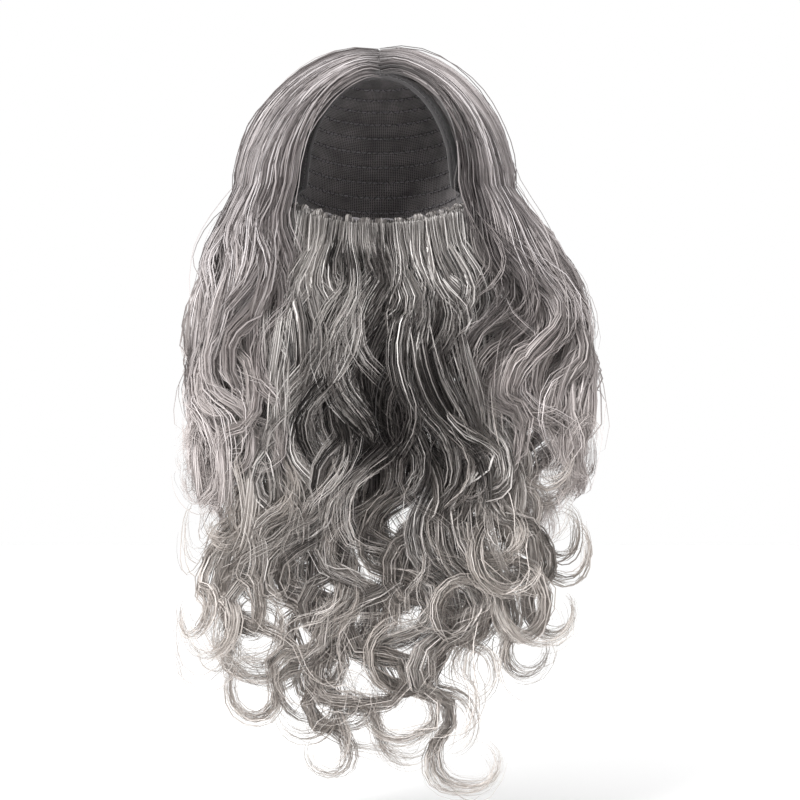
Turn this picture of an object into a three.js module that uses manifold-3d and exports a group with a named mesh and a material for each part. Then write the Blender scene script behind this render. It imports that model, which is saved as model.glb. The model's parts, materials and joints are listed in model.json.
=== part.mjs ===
// A wizard's hairpiece: a long wavy grey wig with a centre parting and the long false beard worn with it.
// Millimetres, +Z up. The face looks along -Y and +X is at the right of the view from the front.
// The origin is the crown of the head, inside the cap.
import * as THREE from "three";
import { mergeVertices } from "three/addons/utils/BufferGeometryUtils.js";
import Module from "manifold-3d";

const wasm = await Module();
wasm.setup();

// The head that the cap is made for
const HEAD_HALF_WIDTH = 75;
const HEAD_HALF_DEPTH = 95;
const HEAD_HALF_HEIGHT = 110;

// Cap, band and strip
const CAP_WALL = 2;
const CAP_FRONT_Y = -57;
const CAP_RIM_FRONT_Z = -112;
const CAP_RIM_NAPE_Z = -146;
const BAND_WIDTH = 9;
const BAND_WALL = 1.6;
const PARTING_WIDTH = 5;
const PARTING_WALL = 1.6;
const PARTING_BACK_Y = 34;

// Outside of the hair over the crown: an egg with its middle at the height of the ears
const EAR_Z = -HEAD_HALF_HEIGHT;
const HAIR_TOP_Z = 12;
const TEMPLE_POLAR = THREE.MathUtils.degToRad(50);

// Outside of the hanging hair, as half sizes at each height
const WIG_MASS = [
  { z: -110, left: 122, right: 114, front: 96, back: 118 },
  { z: -140, left: 136, right: 134, front: 96, back: 119 },
  { z: -180, left: 148, right: 160, front: 97, back: 121 },
  { z: -225, left: 160, right: 182, front: 99, back: 123 },
  { z: -300, left: 163, right: 181, front: 101, back: 125 },
  { z: -360, left: 158, right: 174, front: 101, back: 123 },
  { z: -410, left: 142, right: 152, front: 98, back: 114 },
];
const BEARD_MASS = [
  { z: -125, left: 84, right: 84, front: 105, back: 105 },
  { z: -145, left: 86, right: 86, front: 109, back: 109 },
  { z: -180, left: 92, right: 92, front: 115, back: 115 },
  { z: -225, left: 100, right: 100, front: 120, back: 120 },
  { z: -300, left: 114, right: 117, front: 119, back: 119 },
  { z: -400, left: 134, right: 140, front: 114, back: 114 },
  { z: -470, left: 148, right: 158, front: 108, back: 108 },
  { z: -530, left: 132, right: 140, front: 103, back: 103 },
  { z: -600, left: 104, right: 116, front: 98, back: 98 },
];

// Guides of the wig's hair, from the face to the back. Each leaves the parting at root (mm along Y)
// and runs by azimuths in degrees from the face: at the temple, at the ear and at the hem. crest is the
// height of a wave that turns anticlockwise seen from above, and curl the radius of the last turn, which
// runs away from the face where it is positive.
const WIG_GUIDES = {
  left: [
    { root: -53, temple: 29, ear: 39, hem: 30, tip: -322, crest: -170, curl: 17 },
    { root: -46, temple: 38, ear: 52, hem: 47, tip: -352, crest: -192, curl: 20 },
    { root: -37, temple: 49, ear: 64, hem: 62, tip: -372, crest: -215, curl: 22 },
    { root: -25, temple: 63, ear: 78, hem: 78, tip: -384, crest: -230, curl: 22 },
    { root: -11, temple: 82, ear: 93, hem: 95, tip: -376, crest: -215, curl: -20 },
    { root: 5, temple: 104, ear: 109, hem: 110, tip: -380, crest: -192, curl: 18 },
    { root: 19, temple: 128, ear: 125, hem: 125, tip: -388, crest: -175, curl: -18 },
  ],
  back: [
    { root: 28, temple: 145, ear: 143, hem: 143, tip: -386, crest: -180, curl: 18 },
    { root: 34, temple: 162, ear: 161, hem: 161, tip: -392, crest: -195, curl: 18 },
    { root: 36, temple: 180, ear: 180, hem: 180, tip: -396, crest: -210, curl: -18 },
    { root: 34, temple: 198, ear: 199, hem: 199, tip: -392, crest: -225, curl: -18 },
    { root: 28, temple: 215, ear: 217, hem: 217, tip: -386, crest: -236, curl: -18 },
  ],
  right: [
    { root: -53, temple: 37, ear: 42, hem: 25, tip: -330, crest: -205, curl: 17 },
    { root: -46, temple: 44, ear: 53, hem: 43, tip: -346, crest: -222, curl: 20 },
    { root: -37, temple: 50, ear: 64, hem: 60, tip: -352, crest: -240, curl: 21 },
    { root: -25, temple: 64, ear: 78, hem: 77, tip: -346, crest: -225, curl: -20 },
    { root: -11, temple: 82, ear: 93, hem: 95, tip: -352, crest: -240, curl: -20 },
    { root: 5, temple: 104, ear: 109, hem: 110, tip: -372, crest: -262, curl: -18 },
    { root: 19, temple: 128, ear: 125, hem: 125, tip: -388, crest: -244, curl: -18 },
  ],
};

// Guides of the beard, from -X to +X, by azimuths at the top edge and at the hem.
// crest is the height of the first wave towards +X.
const BEARD_GUIDES = [
  { top: -61, hem: -66, tip: -456, crest: -255, curl: -22 },
  { top: -48, hem: -54, tip: -482, crest: -262, curl: -26 },
  { top: -36, hem: -42, tip: -506, crest: -258, curl: -26 },
  { top: -25, hem: -31, tip: -532, crest: -222, curl: 24 },
  { top: -14, hem: -19, tip: -560, crest: -196, curl: 24 },
  { top: -4, hem: -6, tip: -574, crest: -190, curl: -22 },
  { top: 6, hem: 7, tip: -572, crest: -196, curl: 24 },
  { top: 16, hem: 19, tip: -566, crest: -200, curl: -22 },
  { top: 27, hem: 31, tip: -540, crest: -194, curl: -26 },
  { top: 38, hem: 42, tip: -504, crest: -205, curl: 24 },
  { top: 50, hem: 54, tip: -482, crest: -205, curl: 26 },
  { top: 61, hem: 66, tip: -460, crest: -180, curl: 22 },
];

// Waves of the hair
const WAVE_LENGTH = 140;
const WIG_WAVE = 12;
const BEARD_WAVE = 13;
const WAVE_GROWS_OVER = 110;
const CURL_TURN = THREE.MathUtils.degToRad(215);

// Sheet of hair under each section: a ridge along each guide and a valley beside it
const ROOT_INSETS = { ridge: 0, valley: 3.5, inside: 8 };
const FULL_INSETS = { ridge: 0, valley: 8, inside: 13 };
const SHEET_ENDS_ABOVE_TIPS = 55;
const CROWN_STEPS = 4;
const HANGING_STEPS = 8;

// Free ends: half sizes of each lock across and through, from inside the sheet to the tip of its curl
const LOCK_SIDES = 5;
const LOCK_STARTS_ABOVE_TIPS = 85;
const LOCK_STEPS = 3;
const CURL_STEPS = 4;
const WIG_LOCK = { startWide: 15, endWide: 4, startDeep: 7, endDeep: 2.5 };
const BEARD_LOCK = { startWide: 13, endWide: 4, startDeep: 8, endDeep: 2.5 };

// Room between neighbours that lie on each other, and what flat facets take off a round gap
const GAP = 0.4;
const FACET_ROOM = 1.2;
const LEAST_SHEET = 2;

// The hair sections part halfway between two guides, by this share of the way on each side
const SECTION_GAP = 0.012;

// The beard lies in front, in a room that opens downwards and widens where the wig's hair ends
const BEARD_ROOM = [
  { z: -121, half: 76 },
  { z: -400, half: 109 },
  { z: -445, half: 170 },
  { z: -800, half: 170 },
];
const BEARD_ROOM_BACK_Y = 25;

// Beard backing, its sewn edge and its strap
const FACE_HALF_WIDTH = 76;
const FACE_HALF_DEPTH = 97;
const CHIN_HALF_WIDTH = 60;
const CHIN_HALF_DEPTH = 92;
const CHIN_Z = -214;
const CHEEK_Z = -168;
const BEARD_TOP_MIDDLE_Z = -143;
const BEARD_TOP_CORNER_Z = -124;
const BEARD_HALF_ANGLE = THREE.MathUtils.degToRad(66);
const BEARD_WALL = 1.5;
const EDGE_HEIGHT = 7;
const EDGE_WALL = 2;
const EDGE_RUFFLE = 1.1;
const EDGE_RUFFLES = 13;
const EDGE_LIFT = 1;
const STRAP_HEIGHT = 10;
const STRAP_WALL = 1.2;
const STRAP_LAP = THREE.MathUtils.degToRad(7);
const STRAP_TOP_FRONT_Z = -132.5;
const STRAP_NAPE_Y = 91;

// Past every point of the hairpiece
const FAR = 400;

const COLOURS = {
  hair: 0x9a9698,
  beard: 0x8e8a8b,
  cap: 0x2e2b2c,
  band: 0x1d1b1c,
  strap: 0x232224,
};

// A smooth curve through one column of a table whose rows go down in z
function columnAt(table, column, z) {
  const last = table.length - 1;
  const slope = (i) => {
    const before = table[Math.max(i - 1, 0)];
    const after = table[Math.min(i + 1, last)];
    return (after[column] - before[column]) / (after.z - before.z);
  };
  let i = 0;
  while (i < last - 1 && z < table[i + 1].z) i += 1;
  const span = table[i + 1].z - table[i].z;
  const t = THREE.MathUtils.clamp((z - table[i].z) / span, 0, 1);
  const t2 = t * t;
  const t3 = t2 * t;
  return (
    (2 * t3 - 3 * t2 + 1) * table[i][column] +
    (t3 - 2 * t2 + t) * span * slope(i) +
    (3 * t2 - 2 * t3) * table[i + 1][column] +
    (t3 - t2) * span * slope(i + 1)
  );
}

// A point of the hanging hair's outside. A signed azimuth takes the left or the right column.
function massPoint(table, azimuth, z) {
  const across = columnAt(table, Math.sin(azimuth) < 0 ? "left" : "right", z);
  const along = columnAt(table, Math.cos(azimuth) > 0 ? "front" : "back", z);
  return new THREE.Vector3(across * Math.sin(azimuth), -along * Math.cos(azimuth), z);
}

// A point of the crown's outside, for a direction on the unit sphere
function crownPoint(direction) {
  const ear = WIG_MASS[0];
  const across = direction.x < 0 ? ear.left : ear.right;
  const along = direction.y < 0 ? ear.front : ear.back;
  const up = HAIR_TOP_Z - EAR_Z;
  return new THREE.Vector3(across * direction.x, along * direction.y, EAR_Z + up * direction.z);
}

function directionAt(azimuth, polar) {
  const level = Math.sin(polar);
  return new THREE.Vector3(level * Math.sin(azimuth), -level * Math.cos(azimuth), Math.cos(polar));
}

// Directions of a wig guide over the crown, from its root beside the parting to the ear
function crownDirections(guide) {
  const ear = WIG_MASS[0];
  const rootY = guide.root / (guide.root < 0 ? ear.front : ear.back);
  const rootX = (guide.side * (PARTING_WIDTH / 2 + GAP)) / ear.left;
  const root = new THREE.Vector3(rootX, rootY, Math.sqrt(1 - rootX * rootX - rootY * rootY));
  const temple = directionAt(guide.temple, TEMPLE_POLAR);
  const ending = directionAt(guide.ear, Math.PI / 2);
  return new THREE.CatmullRomCurve3([root, temple, ending]);
}

// Rows of a table with their azimuths as signed radians. The wig's run on from the left of the face
// round the back to its right, so that a guide can lie between any two neighbours.
function placedGuides(rows, side, startDegrees = 0) {
  const radians = (degrees) => THREE.MathUtils.degToRad(startDegrees + side * degrees);
  return rows.map((row) => ({
    ...row,
    side,
    temple: radians(row.temple),
    ear: radians(row.ear),
    top: radians(row.top),
    hem: radians(row.hem),
    curl: row.curl * side,
  }));
}

// A guide between two rows of a table
function blendGuides(guides, at) {
  const low = THREE.MathUtils.clamp(Math.floor(at), 0, guides.length - 2);
  const share = at - low;
  const blended = {};
  for (const key of Object.keys(guides[low])) {
    blended[key] = THREE.MathUtils.lerp(guides[low][key], guides[low + 1][key], share);
  }
  return blended;
}

// The wave's sideways reach at a height below where the hair starts to wave
function waveAt(guide, z, startZ, reach) {
  const grown = THREE.MathUtils.smoothstep(startZ - z, 0, WAVE_GROWS_OVER);
  return reach * grown * Math.cos((2 * Math.PI * (z - guide.crest)) / WAVE_LENGTH);
}

// One station of the hanging hair: the point with its wave, the way out of the mass and the way across
function hangingStation(table, azimuth, z, wave) {
  const point = massPoint(table, azimuth, z);
  const ahead = massPoint(table, azimuth + 0.01, z);
  const across = ahead.sub(point).normalize();
  const out = new THREE.Vector3(across.y, -across.x, 0);
  point.addScaledVector(across, wave);
  return { point, out, across };
}

// The last turn of a lock, in the plane across its way out
function curlStations(end, before, curl) {
  const down = end.point.clone().sub(before.point).normalize();
  const side = new THREE.Vector3().crossVectors(down, end.out).normalize();
  const toward = Math.sign(curl * side.dot(end.across));
  const radius = Math.abs(curl);
  const stations = [];
  for (let i = 1; i <= CURL_STEPS; i += 1) {
    const turned = (CURL_TURN * i) / CURL_STEPS;
    const point = end.point.clone();
    point.addScaledVector(down, radius * Math.sin(turned));
    point.addScaledVector(side, toward * radius * (1 - Math.cos(turned)));
    point.addScaledVector(end.out, -0.25 * radius * (turned / CURL_TURN));
    stations.push({ point, out: end.out, across: end.across });
  }
  return stations;
}

// Stations of a wig guide from its root to a height above its tip
function wigStations(guide, endZ) {
  const stations = [];
  const crown = crownDirections(guide);
  for (let i = 0; i < CROWN_STEPS; i += 1) {
    const direction = crown.getPoint(i / CROWN_STEPS).normalize();
    stations.push({ point: crownPoint(direction), out: direction.clone() });
  }
  return [...stations, ...wigHanging(guide, EAR_Z, endZ, HANGING_STEPS)];
}

// Stations of a wig guide between two heights below the ear
function wigHanging(guide, fromZ, toZ, steps) {
  return spaced(fromZ, toZ, steps).map((z) => {
    const share = (EAR_Z - z) / (EAR_Z - guide.tip);
    const azimuth = THREE.MathUtils.lerp(guide.ear, guide.hem, share);
    const wave = waveAt(guide, z, EAR_Z, WIG_WAVE);
    return hangingStation(WIG_MASS, azimuth, z, wave);
  });
}

function beardTopZ(azimuth) {
  const rise = Math.pow(Math.abs(Math.sin(azimuth) / Math.sin(BEARD_HALF_ANGLE)), 2.2);
  return THREE.MathUtils.lerp(BEARD_TOP_MIDDLE_Z, BEARD_TOP_CORNER_Z, rise);
}

function beardRootZ(guide) {
  return beardTopZ(guide.top) - EDGE_HEIGHT - GAP;
}

function beardStations(guide, endZ) {
  return beardHanging(guide, beardRootZ(guide), endZ, CROWN_STEPS + HANGING_STEPS);
}

// Stations of a beard guide between two heights below the sewn edge
function beardHanging(guide, fromZ, toZ, steps) {
  const rootZ = beardRootZ(guide);
  return spaced(fromZ, toZ, steps).map((z) => {
    const share = (rootZ - z) / (rootZ - guide.tip);
    const azimuth = THREE.MathUtils.lerp(guide.top, guide.hem, share);
    return hangingStation(BEARD_MASS, azimuth, z, waveAt(guide, z, rootZ, BEARD_WAVE));
  });
}

// A closed solid from its corners and triangles
function solidOf(corners, triangles) {
  const geometry = new THREE.BufferGeometry().setFromPoints(corners);
  geometry.setIndex(triangles.flat());
  return manifoldOf(geometry);
}

// A geometry as a solid with its faces turned out
function manifoldOf(geometry) {
  const bare = geometry.clone();
  bare.deleteAttribute("normal");
  bare.deleteAttribute("uv");
  const merged = mergeVertices(bare, 1e-4);
  const vertProperties = merged.attributes.position.array;
  const triVerts = new Uint32Array(merged.index.array);
  const made = new wasm.Manifold(new wasm.Mesh({ numProp: 3, vertProperties, triVerts }));
  if (made.volume() > 0) return made;
  const turned = triVerts.slice();
  for (let i = 0; i < turned.length; i += 3) {
    turned[i] = triVerts[i + 1];
    turned[i + 1] = triVerts[i];
  }
  return new wasm.Manifold(new wasm.Mesh({ numProp: 3, vertProperties, triVerts: turned }));
}

// A wall between two grids of points with the same rows and columns
function wallBetween(outer, inner) {
  const rows = outer.length;
  const columns = outer[0].length;
  const corners = [...outer.flat(), ...inner.flat()];
  const at = (layer, row, column) => layer * rows * columns + row * columns + column;
  const triangles = [];
  const quad = (a, b, c, d) => triangles.push([a, b, c], [a, c, d]);
  for (let i = 0; i < rows - 1; i += 1) {
    for (let j = 0; j < columns - 1; j += 1) {
      quad(at(0, i, j), at(0, i, j + 1), at(0, i + 1, j + 1), at(0, i + 1, j));
      quad(at(1, i, j), at(1, i + 1, j), at(1, i + 1, j + 1), at(1, i, j + 1));
    }
  }
  for (let i = 0; i < rows - 1; i += 1) {
    quad(at(0, i, 0), at(0, i + 1, 0), at(1, i + 1, 0), at(1, i, 0));
    quad(at(0, i, columns - 1), at(1, i, columns - 1), at(1, i + 1, columns - 1), at(0, i + 1, columns - 1));
  }
  for (let j = 0; j < columns - 1; j += 1) {
    quad(at(0, 0, j), at(1, 0, j), at(1, 0, j + 1), at(0, 0, j + 1));
    quad(at(0, rows - 1, j), at(0, rows - 1, j + 1), at(1, rows - 1, j + 1), at(1, rows - 1, j));
  }
  return solidOf(corners, triangles);
}

// One tapered lock, flat in section, whose outer face follows its stations
function lockSolid(stations, lock) {
  const corners = [];
  const triangles = [];
  const last = stations.length - 1;
  stations.forEach((station, i) => {
    const before = stations[Math.max(i - 1, 0)].point;
    const after = stations[Math.min(i + 1, last)].point;
    const along = after.clone().sub(before).normalize();
    const wide = new THREE.Vector3().crossVectors(along, station.out).normalize();
    const out = new THREE.Vector3().crossVectors(wide, along).normalize();
    const halfWide = THREE.MathUtils.lerp(lock.startWide, lock.endWide, i / last);
    const halfDeep = THREE.MathUtils.lerp(lock.startDeep, lock.endDeep, i / last);
    const middle = station.point.clone().addScaledVector(out, -halfDeep);
    for (let k = 0; k < LOCK_SIDES; k += 1) {
      const angle = (2 * Math.PI * k) / LOCK_SIDES;
      const corner = middle.clone();
      corner.addScaledVector(wide, halfWide * Math.cos(angle));
      corner.addScaledVector(out, halfDeep * Math.sin(angle));
      corners.push(corner);
    }
  });
  const at = (ring, side) => ring * LOCK_SIDES + (side % LOCK_SIDES);
  for (let i = 0; i < last; i += 1) {
    for (let k = 0; k < LOCK_SIDES; k += 1) {
      triangles.push([at(i, k), at(i, k + 1), at(i + 1, k + 1)], [at(i, k), at(i + 1, k + 1), at(i + 1, k)]);
    }
  }
  for (let k = 1; k < LOCK_SIDES - 1; k += 1) {
    triangles.push([at(0, 0), at(0, k + 1), at(0, k)], [at(last, 0), at(last, k), at(last, k + 1)]);
  }
  return solidOf(corners, triangles);
}

function joined(solids) {
  return solids.reduce((all, solid) => all.add(solid));
}

// The largest body of a cut solid, without the slivers that the cut leaves
function mainBody(solid) {
  return solid.decompose().reduce((most, body) => (body.volume() > most.volume() ? body : most));
}

// The sheet of a section between two places in a list of guides. It stops short of the tips, and its
// columns alternate between a ridge on each guide and a valley halfway to the next.
function sheetSolid(guides, from, to, stationsOf, clearOf) {
  const places = [from];
  for (let at = Math.ceil(2 * from); at <= 2 * to; at += 1) places.push(at / 2);
  if (to > places[places.length - 1]) places.push(to);
  const routes = places.map((at) => {
    const guide = blendGuides(guides, at);
    return stationsOf(guide, guide.tip + SHEET_ENDS_ABOVE_TIPS);
  });
  const rows = routes[0].length - 1;
  const grid = (insetOf) =>
    spaced(0, rows, rows).map((i) => routes.map((route, j) => insetOf(route[i], i / rows, places[j])));
  const fullness = (share) => THREE.MathUtils.smoothstep(share, 0, 0.4);
  const between = (low, high, share) => THREE.MathUtils.lerp(low, high, fullness(share));
  const outside = (station, share, place) => {
    const name = Number.isInteger(place) ? "ridge" : "valley";
    return clearOf(insetFrom(station, between(ROOT_INSETS[name], FULL_INSETS[name], share)), LEAST_SHEET);
  };
  const inside = (station, share) =>
    clearOf(insetFrom(station, between(ROOT_INSETS.inside, FULL_INSETS.inside, share)), 0);
  return wallBetween(grid(outside), grid(inside));
}

// A point moved straight out from the head's middle where it lies too near the cap and its band
function clearOfHead(point, extra) {
  const grow = CAP_WALL + BAND_WALL + 2 * GAP + FACET_ROOM + extra;
  const up = Math.max(point.z - EAR_Z, 0);
  const reach = Math.hypot(
    point.x / (HEAD_HALF_WIDTH + grow),
    point.y / (HEAD_HALF_DEPTH + grow),
    up / (HEAD_HALF_HEIGHT + grow),
  );
  const short = Math.max(1 / reach, 1);
  return new THREE.Vector3(point.x * short, point.y * short, point.z + up * (short - 1));
}

// A point moved straight out where it lies too near the beard's backing and strap
function clearOfFace(point, extra) {
  if (point.z < CHIN_Z - FACET_ROOM) return point;
  const half = faceHalf(point.z);
  const grow = BEARD_WALL + STRAP_WALL + 2 * GAP + FACET_ROOM + extra;
  const short = Math.max(1 / Math.hypot(point.x / (half.width + grow), point.y / (half.depth + grow)), 1);
  return new THREE.Vector3(point.x * short, point.y * short, point.z);
}

function insetFrom(station, inset) {
  return station.point.clone().addScaledVector(station.out, -inset);
}

// The free end of a guide: a tapered lock that starts inside the sheet and ends in its curl
function endLock(guide, hangingOf, lock) {
  const stations = hangingOf(guide, guide.tip + LOCK_STARTS_ABOVE_TIPS, guide.tip, LOCK_STEPS);
  const end = stations[stations.length - 1];
  const before = stations[stations.length - 2];
  return lockSolid([...stations, ...curlStations(end, before, guide.curl)], lock);
}

function hairSection(guides, from, to, { stationsOf, hangingOf, lock, clearOf }) {
  const own = guides.filter((_, at) => at >= from && at <= to);
  const sheet = sheetSolid(guides, from, to, stationsOf, clearOf);
  return joined([sheet, ...own.map((guide) => endLock(guide, hangingOf, lock))]);
}

// An egg the size of the head, grown all round
function headSolid(grow) {
  const geometry = new THREE.SphereGeometry(1, 26, 14);
  geometry.rotateX(Math.PI / 2);
  geometry.scale(HEAD_HALF_WIDTH + grow, HEAD_HALF_DEPTH + grow, HEAD_HALF_HEIGHT + grow);
  geometry.translate(0, 0, EAR_Z);
  return manifoldOf(geometry);
}

function boxSolid(low, high) {
  const size = high.clone().sub(low);
  const geometry = new THREE.BoxGeometry(size.x, size.y, size.z);
  geometry.translate((low.x + high.x) / 2, (low.y + high.y) / 2, (low.z + high.z) / 2);
  return manifoldOf(geometry);
}

// A prism whose outline is given in two of the three axes
function prismSolid(outline, depth, place) {
  const shape = new THREE.Shape(outline.map(([a, b]) => new THREE.Vector2(a, b)));
  const geometry = new THREE.ExtrudeGeometry(shape, { depth, bevelEnabled: false });
  place(geometry);
  return manifoldOf(geometry);
}

// The height of the cap's rim, which falls from the temples to the nape
function rimZ(y) {
  const fall = (CAP_RIM_NAPE_Z - CAP_RIM_FRONT_Z) / (HEAD_HALF_DEPTH - CAP_FRONT_Y);
  return CAP_RIM_FRONT_Z + fall * (y - CAP_FRONT_Y);
}

function belowRim() {
  const outline = [
    [-FAR, rimZ(-FAR)],
    [-FAR, -FAR],
    [FAR, -FAR],
    [FAR, rimZ(FAR)],
  ];
  return prismSolid(outline, 2 * FAR, (geometry) => {
    geometry.rotateX(Math.PI / 2);
    geometry.rotateZ(Math.PI / 2);
    geometry.translate(-FAR, 0, 0);
  });
}

function capSolid() {
  const face = boxSolid(new THREE.Vector3(-FAR, -FAR, -FAR), new THREE.Vector3(FAR, CAP_FRONT_Y, FAR));
  return headSolid(CAP_WALL).subtract(headSolid(0)).subtract(face).subtract(belowRim());
}

// A band on the cap's outside beside its front edge
function frontBandSolid() {
  const face = boxSolid(new THREE.Vector3(-FAR, -FAR, -FAR), new THREE.Vector3(FAR, CAP_FRONT_Y, FAR));
  const behind = boxSolid(
    new THREE.Vector3(-FAR, CAP_FRONT_Y + BAND_WIDTH, -FAR),
    new THREE.Vector3(FAR, FAR, FAR),
  );
  const inside = headSolid(CAP_WALL + GAP);
  const shell = headSolid(CAP_WALL + GAP + BAND_WALL).subtract(inside);
  return shell.subtract(face).subtract(behind).subtract(belowRim());
}

// A strip along the parting, on the cap and behind the band
function partingSolid() {
  const keep = boxSolid(
    new THREE.Vector3(-PARTING_WIDTH / 2, CAP_FRONT_Y + BAND_WIDTH + GAP, -HEAD_HALF_HEIGHT),
    new THREE.Vector3(PARTING_WIDTH / 2, PARTING_BACK_Y, FAR),
  );
  const inside = headSolid(CAP_WALL + GAP);
  return headSolid(CAP_WALL + GAP + PARTING_WALL).subtract(inside).intersect(keep);
}

// The room in front that holds the beard, narrower or wider by a gap
function beardRoom(grow) {
  const rightSide = BEARD_ROOM.map((row, i) => [row.half + grow, row.z + (i === 0 ? grow : 0)]);
  const leftSide = rightSide.map(([x, z]) => [-x, z]).reverse();
  return prismSolid([...rightSide, ...leftSide], FAR, (geometry) =>
    geometry.rotateX(Math.PI / 2).translate(0, BEARD_ROOM_BACK_Y, 0),
  );
}

// Half sizes of the face that the beard lies on, which narrows to the chin
function faceHalf(z) {
  const share = THREE.MathUtils.clamp((BEARD_TOP_CORNER_Z - z) / (BEARD_TOP_CORNER_Z - CHIN_Z), 0, 1);
  const eased = share * share;
  return {
    width: THREE.MathUtils.lerp(FACE_HALF_WIDTH, CHIN_HALF_WIDTH, eased),
    depth: THREE.MathUtils.lerp(FACE_HALF_DEPTH, CHIN_HALF_DEPTH, eased),
  };
}

function facePoint(azimuth, z, grow) {
  const half = faceHalf(z);
  const x = (half.width + grow) * Math.sin(azimuth);
  const y = -(half.depth + grow) * Math.cos(azimuth);
  return new THREE.Vector3(x, y, z);
}

// Rows of points on the face between two heights that may follow the azimuth
function faceGrid(azimuths, rows, topZ, bottomZ, grow) {
  const grid = [];
  for (let i = 0; i <= rows; i += 1) {
    const share = i / rows;
    grid.push(
      azimuths.map((azimuth) => {
        const z = THREE.MathUtils.lerp(topZ(azimuth), bottomZ(azimuth), share);
        return facePoint(azimuth, z, grow(azimuth, z));
      }),
    );
  }
  return grid;
}

function spaced(from, to, count) {
  return Array.from({ length: count + 1 }, (_, i) => THREE.MathUtils.lerp(from, to, i / count));
}

function beardBackingSolid() {
  const azimuths = spaced(-BEARD_HALF_ANGLE, BEARD_HALF_ANGLE, 16);
  const bottomZ = (azimuth) =>
    THREE.MathUtils.lerp(CHIN_Z, CHEEK_Z, Math.pow(Math.abs(azimuth) / BEARD_HALF_ANGLE, 3));
  const outer = faceGrid(azimuths, 4, beardTopZ, bottomZ, () => BEARD_WALL);
  const inner = faceGrid(azimuths, 4, beardTopZ, bottomZ, () => 0);
  return wallBetween(outer, inner);
}

function beardEdgeSolid() {
  const azimuths = spaced(-BEARD_HALF_ANGLE + 0.03, BEARD_HALF_ANGLE - 0.03, 3 * EDGE_RUFFLES);
  const turns = (azimuth) => (EDGE_RUFFLES * Math.PI * azimuth) / BEARD_HALF_ANGLE;
  const ruffle = (azimuth) => EDGE_RUFFLE * (1 + Math.sin(turns(azimuth)));
  const lift = (azimuth) => EDGE_LIFT * (1 + Math.sin(0.55 * turns(azimuth)));
  const topZ = (azimuth) => beardTopZ(azimuth) + lift(azimuth);
  const bottomZ = (azimuth) => beardTopZ(azimuth) - EDGE_HEIGHT + EDGE_LIFT;
  const inside = BEARD_WALL + GAP;
  const outer = faceGrid(azimuths, 1, topZ, bottomZ, (azimuth) => inside + EDGE_WALL + ruffle(azimuth));
  const inner = faceGrid(azimuths, 1, topZ, bottomZ, (azimuth) => inside + ruffle(azimuth) * 0.5);
  return wallBetween(outer, inner);
}

// The strap laps over the corners of the backing, passes behind the head and meets the cap's rim at the nape
function strapSolid() {
  const from = BEARD_HALF_ANGLE - STRAP_LAP;
  const inside = BEARD_WALL + GAP;
  const napeTopZ = rimZ(STRAP_NAPE_Y) - GAP;
  const stations = spaced(from, 2 * Math.PI - from, 20).map((azimuth) => {
    const share = (Math.cos(from) - Math.cos(azimuth)) / (Math.cos(from) + 1);
    return {
      azimuth,
      depth: THREE.MathUtils.lerp(FACE_HALF_DEPTH + inside, STRAP_NAPE_Y, share),
      topZ: THREE.MathUtils.lerp(STRAP_TOP_FRONT_Z, napeTopZ, share),
    };
  });
  const at = ({ azimuth, depth, topZ }, row, wall) => {
    const x = (FACE_HALF_WIDTH + inside + wall) * Math.sin(azimuth);
    const y = -(depth + wall) * Math.cos(azimuth);
    return new THREE.Vector3(x, y, topZ - STRAP_HEIGHT * row);
  };
  const grid = (wall) => [0, 1].map((row) => stations.map((station) => at(station, row, wall)));
  return wallBetween(grid(STRAP_WALL), grid(0));
}

const wigGuides = [
  ...placedGuides(WIG_GUIDES.left, -1),
  ...placedGuides(WIG_GUIDES.back, -1),
  ...placedGuides(WIG_GUIDES.right, 1, -360).reverse(),
];
const leftEnd = WIG_GUIDES.left.length - 0.5;
const backEnd = leftEnd + WIG_GUIDES.back.length;
const wigHair = {
  stationsOf: wigStations,
  hangingOf: wigHanging,
  lock: WIG_LOCK,
  clearOf: clearOfHead,
};
const beardGuides = placedGuides(BEARD_GUIDES, 1);
const beardHairParts = {
  stationsOf: beardStations,
  hangingOf: beardHanging,
  lock: BEARD_LOCK,
  clearOf: clearOfFace,
};

function sideHair(from, to) {
  return mainBody(hairSection(wigGuides, from, to, wigHair).subtract(beardRoom(GAP)));
}

function backHair() {
  return mainBody(hairSection(wigGuides, leftEnd + SECTION_GAP, backEnd - SECTION_GAP, wigHair));
}

function beardHair() {
  const whole = hairSection(beardGuides, -0.5, beardGuides.length - 0.5, beardHairParts);
  return mainBody(whole.intersect(beardRoom(0)));
}

function meshOf(name, solid, colour, roughness) {
  const made = solid.getMesh();
  const geometry = new THREE.BufferGeometry();
  geometry.setAttribute("position", new THREE.BufferAttribute(made.vertProperties, 3));
  geometry.setIndex(new THREE.BufferAttribute(made.triVerts, 1));
  const material = new THREE.MeshStandardMaterial({ color: colour, roughness, metalness: 0 });
  const mesh = new THREE.Mesh(geometry, material);
  mesh.name = name;
  return mesh;
}

const hairpiece = new THREE.Group();
hairpiece.name = "wizard_wig";
hairpiece.add(
  meshOf("wig_cap", capSolid(), COLOURS.cap, 0.9),
  meshOf("cap_front_band", frontBandSolid(), COLOURS.band, 0.85),
  meshOf("parting_strip", partingSolid(), COLOURS.band, 0.9),
  meshOf("hair_left", sideHair(-0.5, leftEnd - SECTION_GAP), COLOURS.hair, 0.5),
  meshOf("hair_right", sideHair(backEnd + SECTION_GAP, wigGuides.length - 0.5), COLOURS.hair, 0.5),
  meshOf("hair_back", backHair(), COLOURS.hair, 0.5),
  meshOf("beard_backing", beardBackingSolid(), COLOURS.cap, 0.9),
  meshOf("beard_edge", beardEdgeSolid(), COLOURS.beard, 0.7),
  meshOf("beard_hair", beardHair(), COLOURS.beard, 0.5),
  meshOf("beard_strap", strapSolid(), COLOURS.strap, 0.85),
);

export default hairpiece;
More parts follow.
